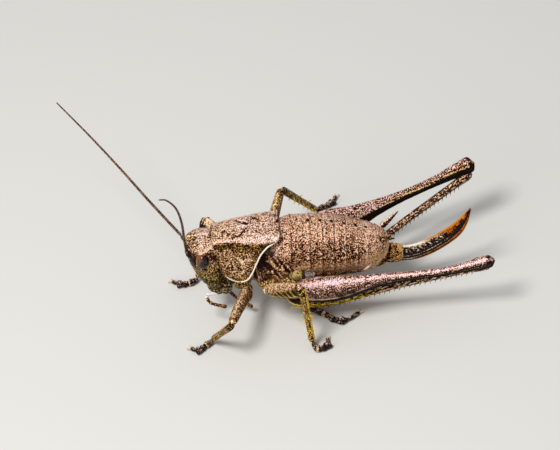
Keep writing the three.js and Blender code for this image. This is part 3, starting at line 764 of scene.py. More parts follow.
# Clear lenses over brown pigment: a cloudy, deep colour, nearly even, with one sharp glint on top.
facets = bpy.data.materials.new("lenses over brown pigment")
facets.use_nodes = True
tree = facets.node_tree
shader = tree.nodes["Principled BSDF"]
place = add(tree, "TexCoord")
in_mm = add(tree, "Mapping", {"Vector": place.outputs["Object"], "Scale": PER_MM})
cells = add(tree, "TexVoronoi", {"Vector": in_mm.outputs["Vector"], "Scale": LENSES})
clouds = add(tree, "TexNoise", {"Vector": in_mm.outputs["Vector"], "Scale": 4.5, "Detail": 3.0})
carried = add(tree, "Attribute", attribute_name="marks")
marks = add(tree, "SeparateXYZ", {"Vector": carried.outputs["Vector"]})
# The pigment's depth, with the marks' painted shade added.
depth = add(tree, "Math", {
    0: clouds.outputs["Fac"], 1: 1.3, 2: marks.outputs["X"],
}, operation="MULTIPLY_ADD")
pigment = add(tree, "ValToRGB", {"Fac": depth.outputs[0]})
pigment.color_ramp.elements.new(0.7)
for stop, (position, colour) in zip(pigment.color_ramp.elements, PIGMENT):
    stop.position = position
    stop.color = linear(colour)
tree.links.new(pigment.outputs["Color"], shader.inputs["Base Color"])
bump = add(tree, "Bump", {
    "Height": cells.outputs["Distance"], "Strength": 0.08, "Distance": 0.02 * MM,
})
tree.links.new(bump.outputs["Normal"], shader.inputs["Normal"])
shader.inputs["Roughness"].default_value = 0.5
shader.inputs["Specular IOR Level"].default_value = 0.0
shader.inputs["Coat Weight"].default_value = 1.0
shader.inputs["Coat IOR"].default_value = 1.5
shader.inputs["Coat Roughness"].default_value = 0.04
SIDES = {"left": -1, "right": 1}
for side_name, outward in SIDES.items():
    shape = new_shape()
    bmesh.ops.create_uvsphere(shape, u_segments=40, v_segments=28, radius=1)
    marks = shape.verts.layers.float_vector["marks"]
    for vert in shape.verts:
        x, y, z = vert.co
        # Darker towards the rear and the bottom: partly the pigment, partly painted shade.
        vert[marks] = (0.4 * (x - 1.2 * z) + 0.35, 0, 0)
        vert.co = (EYE.x + EYE_SIZE.x * x, outward * (EYE.y + EYE_SIZE.y * y), EYE_SIZE.z * z)
    put(shape, f"eye_{side_name}", facets)

# ---- Mouthparts ----
# The lip hangs in front of the mouth, the two jaws close behind it with black cutting tips, a flat
# stalk behind each jaw, and the jointed palps feel about below. All are hung on soft skin.
LIP_LINE = ((-8.4, 0, -3.85), (-8.18, 0, -4.45), (-7.98, 0, -4.85))
LIP_PROFILE = ((0, 0.85, 0.34), (0.6, 0.72, 0.3), (1, 0.42, 0.26))
JAW_PROFILE = ((0, 0.36, 0.62), (0.5, 0.34, 0.5), (0.85, 0.2, 0.34), (1, 0.08, 0.2))
STALK_PROFILE = ((0, 0.3, 0.38), (0.5, 0.28, 0.46), (0.8, 0.24, 0.38), (1, 0.14, 0.18))
FORWARD = (-1, 0, 0)
# Thick dark cuticle, worn smooth where it bites: brown with olive and cream flecks.
lip_skin = cuticle(
    "lip cuticle", plain=("#0c0402", "#442814", "#9c7a48", "#d8c4a0"),
    warm=("#0c0602", "#4c3008", "#b08a30", "#e8d070"),
)


def lip_relief(point, share, side, up):
    return -0.04 * bell(share - 0.3, 0.05) - 0.05 * bell(side, 0.12) * step_up(share, 0.5, 1)


def lip_paint(point, share, side, up):
    return Vector((0.3 + 0.6 * step_up(share, 0.5, 0.9) + 0.5 * bell(share - 0.3, 0.06), 0, 0.6))


def jaw_paint(point, share, side, up):
    return Vector((0.3 + 1.6 * step_up(share, 0.45, 0.8), 0, 0.7))


def stalk_paint(point, share, side, up):
    return Vector((0.9 * math.sin(share * 16) ** 2, 0.4 * bell(share - 0.5, 0.1), 0.2))


lip = limb(new_shape(), LIP_LINE, LIP_PROFILE, FORWARD, 40, 0.05, lip_relief, lip_paint)
put(lip, "labrum", lip_skin)
for side_name, outward in SIDES.items():
    jaw = [(-7.7, outward * 0.72, -3.75), (-7.72, outward * 0.66, -4.4), (-7.85, outward * 0.36, -4.9)]
    stalk = [(-6.95, outward * 0.95, -2.9), (-7.0, outward * 1.05, -3.7), (-7.15, outward * 0.8, -4.6)]
    shape = limb(new_shape(), jaw, JAW_PROFILE, FORWARD, 28, 0.05, paint=jaw_paint)
    limb(shape, stalk, STALK_PROFILE, FORWARD, 24, 0.05, paint=stalk_paint)
    put(shape, f"mandible_{side_name}", lip_skin)

PALPS = {
    "palp_maxillary_left": (
        (-7.75, -0.85, -4.5), (-8.65, -1.1, -4.5), (-8.4, -1.75, -4.75), (-7.1, -1.95, -5.1),
    ),
    "palp_maxillary_right": (
        (-7.75, 0.85, -4.5), (-8.5, 1.3, -4.7), (-8.5, 1.8, -5.2), (-7.8, 1.9, -5.7),
    ),
    "palp_labial_left": ((-7.1, -0.5, -4.25), (-6.2, -0.9, -5.1), (-4.9, -1.25, -5.95)),
    "palp_labial_right": ((-7.1, 0.5, -4.25), (-6.5, 0.9, -5.1), (-5.4, 1.25, -5.8)),
}
PALP_PROFILE = ((0, 0.15, 0.15), (0.6, 0.125, 0.125), (0.9, 0.14, 0.14), (1, 0.12, 0.12))
PALP_JOINTS = (0.32, 0.5, 0.64)
# Thin, half-clear cuticle over pale flesh: milky at the root joint, brown and rosy beyond.
palp_skin = cuticle(
    "palp cuticle", plain=("#3a2418", "#a98a78", "#f4e6e4", "#fff8fa"),
    warm=("#2c1408", "#7c4420", "#b87434", "#dca868"),
)


def palp_relief(point, share, side, up):
    joint = min(abs(share - place) for place in PALP_JOINTS)
    return -0.035 * bell(joint, 0.015) + 0.025 * bell(joint - 0.05, 0.03) + 0.04 * step_up(share, 0.85, 0.97)


def palp_paint(point, share, side, up):
    joint = min(abs(share - place) for place in PALP_JOINTS)
    first = step_up(share, 0.42, 0.36) * step_up(point.x, -7.5, -7.9)
    return Vector((1.2 * bell(joint, 0.02) + 0.3 * (1 - first), 1.1 * first, 0.8 * (1 - first)))


for palp_name, line in PALPS.items():
    palp = limb(new_shape(), line, PALP_PROFILE, (0, 0, 1), 14, 0.05, palp_relief, palp_paint)
    put(palp, palp_name, palp_skin)

# ---- Antennae ----
# Threads of hundreds of short rings, nearly black and much longer than the head, each on a stout
# root joint that turns in its socket.
SCAPES = {
    "left": ((-9.8, -0.62, -0.25), (-10.22, -0.7, 0.1), (-10.36, -0.76, 0.65)),
    "right": ((-9.8, 0.62, -0.25), (-10.3, 0.75, 0.1), (-10.72, 1.0, 0.6)),
}
THREADS = {
    "left": (
        (-10.14, -0.75, 8.1), (-10.07, -1.02, 9.5), (-9.86, -1.83, 12.4), (-9.91, -3.02, 15.2),
        (-10.2, -5.3, 18.4), (-10.4, -8.2, 21.4),
    ),
    "right": (
        (-10.5, 1.0, 8.15), (-12.8, 4.25, 9.35), (-15.05, 7.7, 10.4), (-17.35, 11.0, 11.5),
        (-19.95, 14.6, 12.6),
    ),
}
THREAD_PROFILE = ((0, 0.12, 0.12), (0.2, 0.11, 0.11), (0.6, 0.085, 0.085), (1, 0.055, 0.055))
SCAPE_PROFILE = ((0, 0.2, 0.2), (0.45, 0.22, 0.22), (0.6, 0.14, 0.14), (0.75, 0.16, 0.16), (1, 0.1, 0.1))
ANTENNA_RING = 0.24
# Hard, nearly black cuticle that turns brown and thinner towards the tip, dull from its short hairs.
feeler_skin = cuticle(
    "antenna cuticle", plain=("#0c0605", "#1e100c", "#5a3c30", "#90705c"),
    warm=("#120906", "#341c0e", "#7c5632", "#a8845c"), speck=0.1,
)


def from_joint(share):
    """How far a place on a thread lies from the joint between its two nearest rings."""
    return (share * thread_length / ANTENNA_RING) % 1 - 0.5


def thread_relief(point, share, side, up):
    return -0.018 * bell(from_joint(share), 0.16)


def thread_paint(point, share, side, up):
    return Vector((0.2, 0.7 * bell(from_joint(share), 0.2), 0.4 * step_up(share, 0.0, 0.6)))


def scape_paint(point, share, side, up):
    return Vector((0.2, 0.3 * bell(share - 0.75, 0.1), 0.3))


for side_name, line in THREADS.items():
    thread_length, _ = line_through(line)
    thread = limb(new_shape(), line, THREAD_PROFILE, (1, 0, 0), 12, 0.06, thread_relief, thread_paint)
    nodes = [f"antenna_{side_name}_thread_{number}" for number in (1, 2)]
    put(thread, f"antenna_{side_name}", feeler_skin, GROUND, nodes)
    scape = limb(new_shape(), SCAPES[side_name], SCAPE_PROFILE, (0, 0, 1), 20, 0.04, paint=scape_paint)
    put(scape, f"antenna_{side_name}_scape", feeler_skin)

# ---- Leg roots ----
# A stout coxa hung under the thorax and a ring-like trochanter before each thigh: dull brown
# cuticle, with pale rims where the joints meet. Under each hind one a heel of skin swells out, black
# with a yellow lower edge, and a soft bare membrane behind it lets the leg swing.
LEGS = {
    "front_left": {
        "root": (-6.0, -1.1, -2.2), "hip": (-5.7, -1.75, 3.65), "knee": (-7.15, -6.6, 4.5),
        "ankle": (-9.25, -4.1, 0.55), "foot": ((-9.85, -4.4), (-10.55, -4.9), (-11.2, -4.45)),
    },
    "front_right": {
        "root": (-6.0, 1.1, -2.2), "hip": (-5.7, 1.7, 3.8), "knee": (-8.9, 5.75, 5.05),
        "ankle": (-10.2, 3.35, 0.5), "foot": ((-11.1, 3.1), (-11.8, 3.15), (-12.5, 3.7)),
    },
    "middle_left": {
        "root": (-3.7, -1.3, -2.2), "hip": (-4.1, -2.1, 3.45), "knee": (-0.95, -5.45, 6.25),
        "ankle": (-0.95, -6.0, 0.5), "foot": ((-0.5, -6.7), (0.25, -6.45), (0.3, -5.55)),
    },
    "middle_right": {
        "root": (-3.7, 1.3, -2.2), "hip": (-4.1, 2.1, 3.75), "knee": (-2.0, 7.1, 5.9),
        "ankle": (0.35, 9.5, 0.5), "foot": ((1.1, 9.95), (1.75, 10.3), (2.15, 11.1)),
    },
    "hind_left": {
        "root": (-2.3, -1.4, -2.0), "hip": (-1.5, -2.9, 3.45), "knee": (14.95, -4.8, 5.8),
        "ankle": (-1.15, -1.85, 0.85), "sag": (0.17, 0.03, 0.28),
        "foot": ((0.2, -2.75), (1.1, -3.65), (2.15, -3.8), (3.2, -3.05)),
    },
    "hind_right": {
        "root": (-2.3, 1.4, -2.0), "hip": (-1.5, 2.65, 3.85), "knee": (14.4, 6.05, 6.7),
        "ankle": (0.8, 1.3, 0.55), "sag": (0.4, 0.3, 0.3),
        "foot": ((1.7, 2.3), (2.6, 3.0), (3.5, 3.4), (4.2, 3.5)),
    },
}
for leg in LEGS.values():
    for joint in ("hip", "knee", "ankle"):
        leg[joint] = Vector(leg[joint])
UP = Vector((0, 0, 1))
COXA_PROFILE = ((0, 0.8, 0.7), (0.5, 0.84, 0.72), (0.85, 0.6, 0.58), (1, 0.42, 0.44))
TROCHANTER_PROFILE = ((0, 0.42, 0.42), (1, 0.48, 0.5))
HEEL_PROFILE = ((0, 0.3, 0.3), (0.4, 0.4, 0.5), (1, 0.4, 0.5))
# Tough cuticle with a waxy dullness, tan over gold, whose marks join into bars and spots.
leg_skin = cuticle(
    "leg cuticle", plain=("#1c0600", "#985618", "#f4ac60", "#ffe4c8"),
    warm=("#100600", "#7c4c00", "#eca808", "#ffdc50"),
)


def coxa_relief(point, share, side, up):
    swell = noise.noise(point * 1.3)
    return 0.05 * swell - 0.07 * bell(share - 0.8, 0.04) - 0.05 * bell(side - 0.3, 0.12)


def coxa_paint(point, share, side, up):
    rim = bell(share - 0.9, 0.05)
    arcs = bell(side - 0.3, 0.08) + bell(side + 0.4, 0.06)
    return Vector((0.25 + 0.8 * bell(share - 0.8, 0.04) - 0.5 * rim, 1.0 * rim + 0.5 * arcs, 0.45))


def trochanter_paint(point, share, side, up):
    edge = bell(share - 0.85, 0.12) + bell(side + 0.95, 0.2)
    return Vector((bell(share - 0.45, 0.2), 1.4 * edge, 0.2 + 0.1 * edge))


def heel_paint(point, share, side, up):
    edge = bell(up + 0.6, 0.3)
    return Vector((1.3 * (1 - edge) - 0.8 * edge, edge, 1.2 * edge))


for leg_name, leg in LEGS.items():
    ahead = (leg["knee"] - leg["hip"]).normalized()
    coxa = [on_trunk(*leg["root"]), leg["hip"]]
    trochanter = [leg["hip"] - ahead * 0.3, leg["hip"] + ahead * 0.35]
    shape = limb(new_shape(), coxa, COXA_PROFILE, UP, 32, 0.07, coxa_relief, coxa_paint)
    limb(shape, trochanter, TROCHANTER_PROFILE, UP, 24, 0.06, paint=trochanter_paint)
    if leg_name.startswith("hind"):
        outward = math.copysign(1, leg["hip"].y)
        heel = [(-2.4, outward * 2.7, 3.1), (-1.9, outward * 2.9, 2.6), (-0.6, outward * 2.95, 2.25)]
        limb(shape, heel, HEEL_PROFILE, UP, 28, 0.06, paint=heel_paint)
    put(shape, f"{leg_name}_coxa", leg_skin, GROUND)

HINGE_PROFILE = ((0, 0.4, 0.4), (0.5, 0.42, 0.42), (1, 0.2, 0.2))
# Bare joint skin without horn: even, matt and yellowish in front of its fold, greyish behind.
hinge_skin = cuticle(
    "soft joint membrane", plain=("#382a26", "#8c7a70", "#b4a096", "#d4c4bc"),
    warm=("#40300e", "#a88a46", "#c4a868", "#d8c48c"), strewn=0.7,
)


def hinge_relief(point, share, side, up):
    return 0.08 * noise.noise(point * 1.6) - 0.08 * bell(share - 0.5, 0.05)


def hinge_paint(point, share, side, up):
    return Vector((1.6 * bell(share - 0.52, 0.04), 0, 0.9 * step_up(share, 0.54, 0.48)))


for side_name, outward in SIDES.items():
    hinge = (
        (-1.8, outward * 2.0, -1.45), (-1.2, outward * 2.3, -1.3), (-0.5, outward * 2.35, -1.3),
        (0.3, outward * 2.1, -1.4),
    )
    hinge = [on_trunk(*spot) for spot in hinge]
    shape = limb(new_shape(), hinge, HINGE_PROFILE, UP, 28, 0.06, hinge_relief, hinge_paint)
    put(shape, f"hind_{side_name}_hinge", hinge_skin, GROUND, nodes=[])

# ---- Front and middle thighs ----
# Straight tubes of cuticle, keeled along the lower edges and pinched in before the knee. Pinkish tan
# above, with a painted highlight along the top and painted shade down the sides; striped yellow and
# black below.
WALKING_FEMUR = {
    "front": ((0, 0.4, 0.46), (0.3, 0.46, 0.52), (0.75, 0.44, 0.5), (0.93, 0.38, 0.42), (1, 0.28, 0.3)),
    "middle": (
        (0, 0.48, 0.68), (0.2, 0.5, 0.74), (0.5, 0.46, 0.7), (0.8, 0.4, 0.62), (0.93, 0.35, 0.5),
        (1, 0.3, 0.36),
    ),
}
HIP_DROP = {"front": 0, "middle": 0.26}
# How far up the yellow reaches, how orange and ruddy each thigh is, and how strong a painted lilac
# highlight it has on top towards the knee: no two are the same.
THIGH_TINTS = {
    ("middle", "left"): (0.35, 0.1, 0.1, 0), ("middle", "right"): (0, 0.3, 0.3, 0),
    ("front", "left"): (0, 0.1, 0.3, 0), ("front", "right"): (0, 0.1, 0.1, 0.35),
}
# The pair, side and measures of each leg but the hind ones, whose thighs alone sag.
WALKING_LEGS = [(*name.split("_"), leg) for name, leg in LEGS.items() if "sag" not in leg]


def thigh_relief(point, share, side, up):
    keel = 0.05 * bell(math.hypot(abs(side) - 0.62, up + 0.78), 0.22)
    hollow = -0.06 * bell(side, 0.3) * step_up(up, -0.7, -0.95)
    depth = (0.2 * bell(share - 0.15, 0.15) - 0.14 * step_up(share, 0.4, 0.8)) * step_up(up, 0.1, -0.5)
    return keel + hollow + depth - 0.05 * bell(share - 0.93, 0.012)


def thigh_paint(point, share, side, up):
    lifted, orange, ruddy, lilac_highlight = THIGH_TINTS[pair, side_name]
    edge = lifted * step_up(share, 0.25, 0.45)
    below = step_up(up, edge, edge - 0.3)
    bars = below * (0.5 + 0.5 * math.sin(share * 46 + up * 4)) * step_up(share, 0.1, 0.3)
    # Painted highlight along the top, and a painted lilac highlight on top towards the knee.
    top = bell(side, 0.4) * step_up(up, 0.4, 0.8)
    lilac_highlight *= step_up(share, 0.6, 0.8) * step_up(up, 0.0, 0.5)
    # The 0.3 term paints shade on all but the top.
    dark = 2.2 * bars + 0.8 * bell(share - 0.93, 0.02) + 0.3 * step_up(up, 0.5, 0.0) + ruddy
    pale = 1.6 * bell(up + 0.62, 0.12) + 0.5 * top + 0.4 * (below - bars) + lilac_highlight
    return Vector((dark, pale, 0.9 * below + orange * (1 - lilac_highlight)))


for pair, side_name, leg in WALKING_LEGS:
    line = [leg["hip"] - UP * HIP_DROP[pair], leg["knee"]]
    thigh = limb(new_shape(), line, WALKING_FEMUR[pair], UP, 40, 0.06, thigh_relief, thigh_paint)
    put(thigh, f"{pair}_{side_name}_femur", leg_skin, GROUND)

# ---- Front and middle shins ----
# Slender tubes with a row of short thorns down each side and spurs at the end, warm gold behind and
# spotted tan in front. A slit of an ear opens under each front knee.
WALKING_TIBIA = ((0, 0.28, 0.3), (0.12, 0.3, 0.33), (0.6, 0.25, 0.28), (1, 0.26, 0.27))
# Each row of thorns: shares of the shin, degrees from its back, length and radius.
SHIN_THORNS = {
    "front": [((0.12, 0.22, 0.32, 0.43, 0.55, 0.72, 0.9), 138, 0.55, 0.035)],
    "middle": [((0.3, 0.45, 0.575, 0.72, 0.83, 0.93), 138, 0.42, 0.06), ((0.47, 0.73), 30, 0.42, 0.06)],
}
GOLDEN_THORN = ((0.2, 0.4, 0.8), (0, 1.4, 1.0))


def thorn(shape, foot, point, radius, root_marks, point_marks):
    """A small pointed cone standing on the surface."""
    marks = shape.verts.layers.float_vector["marks"]
    lean = point - foot
    stand = Matrix.Translation((foot + point) / 2) @ lean.to_track_quat("Z", "Y").to_matrix().to_4x4()
    cone = bmesh.ops.create_cone(
        shape, cap_ends=True, segments=7, radius1=radius, radius2=radius * 0.12,
        depth=lean.length, matrix=stand,
    )
    for vert in cone["verts"]:
        near_foot = (vert.co - foot).length < (vert.co - point).length
        vert[marks] = root_marks if near_foot else point_marks


def thorn_rows(shape, points, profile, dorsal, shares, angle, length, radius, tints):
    """Rows of thorns along both sides of a shin, leaning towards its foot."""
    _, at = line_through(points)
    sine, cosine = math.sin(math.radians(angle)), math.cos(math.radians(angle))
    for share in shares:
        spot, ahead = at(share)
        upright = (dorsal - ahead * dorsal.dot(ahead)).normalized()
        across = upright.cross(ahead)
        half_width, half_height = smooth_row(profile, share)
        for hand in (-1, 1):
            out = across * hand * sine + upright * cosine
            foot = spot + across * hand * sine * half_width * 0.85
            foot += upright * cosine * half_height * 0.85
            lean = (out + ahead * 0.7).normalized()
            thorn(shape, foot, foot + lean * length, radius, *tints)


def shin_relief(point, share, side, up):
    return 0.015 * math.cos(4 * math.atan2(side, up)) + 0.01 * noise.noise(point * 4)


def shin_paint(point, share, side, up):
    golden, seam, ear = 0.2 * step_up(share, 0.25, 0.5), 0.4, 0
    if pair == "middle":
        golden, seam = step_up(side, -0.3, 0.0), bell(side + 0.3, 0.2)
    else:
        ear = 2.0 * bell((share - 0.13) * 5, 0.2) * bell(abs(side) - 0.9, 0.2)
    spots = 2.2 * max(0, math.sin(share * 140)) ** 2 * seam + 0.25
    return Vector((spots + 0.6 * bell(share - 0.06, 0.03) + ear, 0.8 * golden, 0.8 * golden + 0.5))


for pair, side_name, leg in WALKING_LEGS:
    dorsal = (leg["knee"] - leg["hip"]).normalized()
    top = leg["knee"] - UP * 0.1
    line = [top, top.lerp(leg["ankle"], 0.5), leg["ankle"]]
    shape = limb(new_shape(), line, WALKING_TIBIA, dorsal, 32, 0.06, shin_relief, shin_paint)
    for row in SHIN_THORNS[pair]:
        thorn_rows(shape, line, WALKING_TIBIA, dorsal, *row, GOLDEN_THORN)
    put(shape, f"{pair}_{side_name}_tibia", leg_skin, GROUND)

# ---- Hind thighs ----
# Long drumsticks that hold the jumping muscles: thick at the root, slender to the knee. The rounded
# back carries a painted highlight, and a yellow keel runs along the lower edge of the thick part over a
# black underside, partly dark cuticle and partly painted shade.
JUMPING_FEMUR = (
    (0, 0.42, 0.55), (0.03, 0.62, 1.1), (0.065, 0.79, 1.5), (0.12, 0.85, 1.75), (0.19, 0.84, 1.78),
    (0.27, 0.77, 1.58), (0.35, 0.58, 1.12), (0.43, 0.44, 0.84), (0.52, 0.37, 0.6),
    (0.62, 0.33, 0.46), (0.76, 0.31, 0.44), (0.88, 0.37, 0.57), (0.94, 0.45, 0.7),
    (0.985, 0.46, 0.69), (1, 0.42, 0.42),
)
SAG_SHARES = (0.2, 0.45, 0.75)
FEMUR_BOW = 0.1
FEMUR_LEAN = math.radians(20)
FEMUR_LENGTH = 16.3
# Dark blotches on the outer face, by share of the length and degrees from the back.
BLOTCHES = ((0.235, 98), (0.29, 90), (0.42, 95))
# The same waxy cuticle, stretched thin over muscle and rosier: pink in its painted sheen, gold below.
hind_skin = cuticle(
    "hind leg cuticle", plain=("#160400", "#985426", "#f8b878", "#ffdeea"),
    warm=("#0c0400", "#844a06", "#dc9410", "#f8d840"), speck=0.095,
)


def around(side, up):
    """Degrees round a limb from its back, growing towards the outer face."""
    return math.degrees(math.atan2(side, up))


def drumstick_relief(point, share, side, up):
    turned = around(abs(side), up)
    keel = 0.06 * bell(turned - 106, 9) + 0.06 * bell(turned - 150, 9)
    ribs = 0.02 * math.sin(share * 120 + turned / 8) * bell(turned - 70, 30) * step_up(share, 0.5, 0.4)
    hollow = -0.1 * bell(turned - 180, 16) - 0.06 * bell(turned - 122, 8)
    joint = -0.06 * bell(share - 0.925, 0.01)
    return keel + ribs + hollow + joint + 0.015 * noise.noise(point * 2)


def drumstick_paint(point, share, side, up):
    turned = around(side * outward, up)
    along = share * FEMUR_LENGTH
    # Painted highlight along the rounded back, and on the inner face in the next lines.
    painted_highlight = 1.3 * bell(turned - 18, 14)
    if turned <= -40:
        painted_highlight = 0.8 * bell(turned + 76, 16) * step_up(share, 0.3, 0.6)
    edge = 107 - 14 * step_up(share, 0.15, 0.4)
    keel = bell(turned - edge + 4, 6) * step_up(share, 0.02, 0.06) * step_up(share, 0.42, 0.25)
    # The underside below the keel: black cuticle with painted shade where the shin lies under it.
    underside_shade = step_up(abs(turned), edge, edge + 3) * (1 - 0.7 * step_up(share, 0.9, 0.95))
    slender = step_up(share, 0.42, 0.6) * step_up(abs(turned), 48, 72)
    blotch = sum(
        bell(math.hypot(along - place * FEMUR_LENGTH, (turned - angle) / 50), 0.28)
        for place, angle in BLOTCHES
    )
    knee = 1.5 * bell(math.hypot(along - 0.95 * FEMUR_LENGTH, (turned - 95) / 40), 0.35)
    knee += bell(share - 0.985, 0.008)
    stripe = slender * (0.5 * math.sin(turned / 5 + share * 30) + 0.6)
    # Painted shade also low on the inner face.
    dark = 1.5 * underside_shade + 0.8 * step_up(turned, -96, -110) + 1.5 * blotch + 0.9 * knee + stripe
    dark += 0.12 + 0.35 * step_up(turned, 35, 60)
    warm = 0.15 * step_up(turned, 60, 90) + 0.5 * slender + 0.3 * underside_shade
    return Vector((dark, 0.75 * painted_highlight + 1.3 * keel, warm))


for side_name, outward in SIDES.items():
    leg = LEGS[f"hind_{side_name}"]
    hip, knee = leg["hip"], leg["knee"]
    leg["dorsal"] = Vector((0, outward * math.sin(FEMUR_LEAN), math.cos(FEMUR_LEAN)))
    line = [hip - (knee - hip).normalized() * 0.4 + UP * 0.2]
    for share, sag in zip(SAG_SHARES, leg["sag"]):
        line.append(hip.lerp(knee, share) + Vector((0, outward * FEMUR_BOW, -sag)))
    line.append(knee)
    thigh = limb(
        new_shape(), line, JUMPING_FEMUR, leg["dorsal"], 72, 0.09, drumstick_relief, drumstick_paint,
    )
    put(thigh, f"hind_{side_name}_femur", hind_skin, GROUND)

# ---- Hind shins ----
# Long square-edged tubes folded up against the thighs, with two close rows of black thorns down
# the outer edges and longer yellow-tipped spurs round the ankle. Netted with black, and golden
# towards the foot on the left one's lit side.
JUMPING_TIBIA = (
    (0, 0.3, 0.34), (0.04, 0.34, 0.4), (0.12, 0.28, 0.33), (0.9, 0.26, 0.3), (1, 0.28, 0.3),
)
TIBIA_DROP = 0.85
TIBIA_BOW = 0.45
# The teeth, listed like a row of thorns.
TEETH = ([0.1 + 0.028 * i for i in range(31)], 142, 0.36, 0.055)
BLACK_TOOTH = ((1.5, 0, 0.3), (1.2, 0, 0.6))
# Each spur: how far it leans sideways and upwards for each step ahead, and its length.
SPURS = (
    (0.3, 0.3, 1.5), (-0.4, 0.4, 1.9), (0.1, 0.65, 1.6), (-0.2, 0.95, 1.4), (0.3, 1.4, 1.1),
    (-0.1, 2.0, 0.9),
)
SPUR_RADIUS = 0.17
YELLOW_SPUR = ((1.0, 0, 0.9), (0, 1.6, 1.2))


def tibia_relief(point, share, side, up):
    return 0.03 * math.cos(4 * math.atan2(side, up) + math.pi) + 0.01 * noise.noise(point * 3)


def tibia_paint(point, share, side, up):
    turned = around(side * outward, up)
    lit = outward < 0
    golden = step_up(share, 0.5, 0.8) * lit
    edge = bell(turned - 106, 10) * step_up(share, 0.3, 0.6) * lit
    stripes = 0.5 * math.sin(math.radians(7 * turned)) * (1 - golden) * (1 if lit else 0.4)
    net = (2.2 if lit else 1.2) * noise.noise(Vector((share * 42, turned / 22, outward)))
    dark = stripes + net + 0.4 - 0.25 * golden
    return Vector((dark, 0.1 * golden + 2.4 * edge, 0.3 + 0.8 * golden + 0.6 * edge))


for side_name, outward in SIDES.items():
    leg = LEGS[f"hind_{side_name}"]
    dorsal, ankle = leg["dorsal"], leg["ankle"]
    top = (leg["knee"] - dorsal * TIBIA_DROP).lerp(leg["hip"], 0.02)
    line = [top, top.lerp(ankle, 0.5) - UP * 0.1, top.lerp(ankle, 0.84) - UP * TIBIA_BOW, ankle]
    shape = limb(new_shape(), line, JUMPING_TIBIA, dorsal, 40, 0.09, tibia_relief, tibia_paint)
    thorn_rows(shape, line, JUMPING_TIBIA, dorsal, *TEETH, BLACK_TOOTH)
    end, ahead = line_through(line)[1](1)
    aside = dorsal.cross(ahead)
    for sideways, upwards, length in SPURS:
        foot = end - ahead * 0.1 + aside * sideways * 0.5 + dorsal * min(upwards, 0.6) * 0.5
        lean = (ahead + aside * sideways + dorsal * upwards).normalized()
        thorn(shape, foot, foot + lean * length, SPUR_RADIUS, *YELLOW_SPUR)
    put(shape, f"hind_{side_name}_tibia", hind_skin, GROUND)

# ---- Feet ----
# Four joints each, dark and glossy above with a painted highlight along the top, with soft side
# lobes on the third, flat soles on the ground, and two curved claws at the tip.
HEEL_LEVEL = 0.36
SOLE_LEVEL = 0.27
TOE_LEVEL = 0.2
FOOT_PROFILE = (
    (0, 0.24, 0.28), (0.1, 0.23, 0.26), (0.3, 0.3, 0.33), (0.37, 0.22, 0.22), (0.42, 0.22, 0.24),
    (0.5, 0.3, 0.3), (0.54, 0.22, 0.22), (0.6, 0.3, 0.27), (0.68, 0.4, 0.3), (0.73, 0.16, 0.18),
    (0.8, 0.14, 0.16), (0.94, 0.18, 0.2), (1, 0.13, 0.15),
)
CLAW_PROFILE = ((0, 0.07, 0.07), (0.6, 0.05, 0.05), (1, 0.02, 0.02))
FOOT_JOINTS = (0.37, 0.54, 0.73)
# Horny cuticle, dark brown, smoother and glossier than the legs', with a tan band round each heel.
foot_skin = cuticle(
    "foot cuticle", plain=("#120604", "#442212", "#8c6048", "#e8ccd0"),
    warm=("#140804", "#54300c", "#a87840", "#e8cc98"), roughness=0.28,
)


def foot_relief(point, share, side, up):
    cleft = -0.16 * bell(side, 0.25) * bell(share - 0.67, 0.05) * step_up(up, 0.0, 0.6)
    return cleft - 0.03 * sum(bell(share - joint, 0.012) for joint in FOOT_JOINTS)


def foot_paint(point, share, side, up):
    joint = sum(bell(share - place, 0.02) for place in FOOT_JOINTS)
    # Painted highlight along the top of each joint.
    painted_highlight = bell(side, 0.4) * step_up(up, 0.2, 0.8) * (1 - joint)
    tan = bell(share - 0.33, 0.03)
    return Vector((0.6 + 0.5 * joint - 0.6 * tan, 0.8 * painted_highlight + 0.4 * tan, 0.3 + 0.4 * tan))


for leg_name, leg in LEGS.items():
    line = [Vector((*leg["ankle"].xy, HEEL_LEVEL))] + [Vector((*spot, SOLE_LEVEL)) for spot in leg["foot"]]
    line[-1].z = TOE_LEVEL
    shape = limb(new_shape(), line, FOOT_PROFILE, UP, 28, 0.05, foot_relief, foot_paint, floor=0)
    toe, ahead = line_through(line)[1](1)
    across = ahead.cross(UP).normalized()
    for hand in (-1, 1):
        claw = [
            toe - ahead * 0.12 + across * hand * 0.05,
            toe + ahead * 0.16 + across * hand * 0.17 + UP * 0.05,
            toe + ahead * 0.3 + across * hand * 0.22 - UP * 0.12,
        ]
        limb(shape, claw, CLAW_PROFILE, UP, 10, 0.04, paint=lambda *_: Vector((0, 0.9, 0.7)))
    # The claws rest on the ground too.
    for vert in shape.verts:
        vert.co.z = max(vert.co.z, 0)
    put(shape, f"{leg_name}_tarsus", foot_skin, GROUND)

# ---- Wing stubs ----
# Useless little flaps of thin, leathery wing that show behind the saddle plate's rim, veined
# lengthwise: the same half-clear cuticle as the palps.
STUB_PROFILE = ((0, 0.1, 0.3), (0.6, 0.08, 0.24), (1, 0.05, 0.16))


def stub_relief(point, share, side, up):
    return 0.03 * math.sin(up * 9)


def stub_paint(point, share, side, up):
    end = step_up(share, 0.6, 0.85)
    return Vector((1.2 * (1 - end), 0.3 * end, 0.4))


for side_name, outward in SIDES.items():
    line = [(-3.9, outward * 1.9, 1.25), (-3.35, outward * 2.14, 1.15), (-2.85, outward * 2.24, 0.98)]
    stub = limb(new_shape(), line, STUB_PROFILE, UP, 28, 0.04, stub_relief, stub_paint)
    put(stub, f"wing_stub_{side_name}", palp_skin)

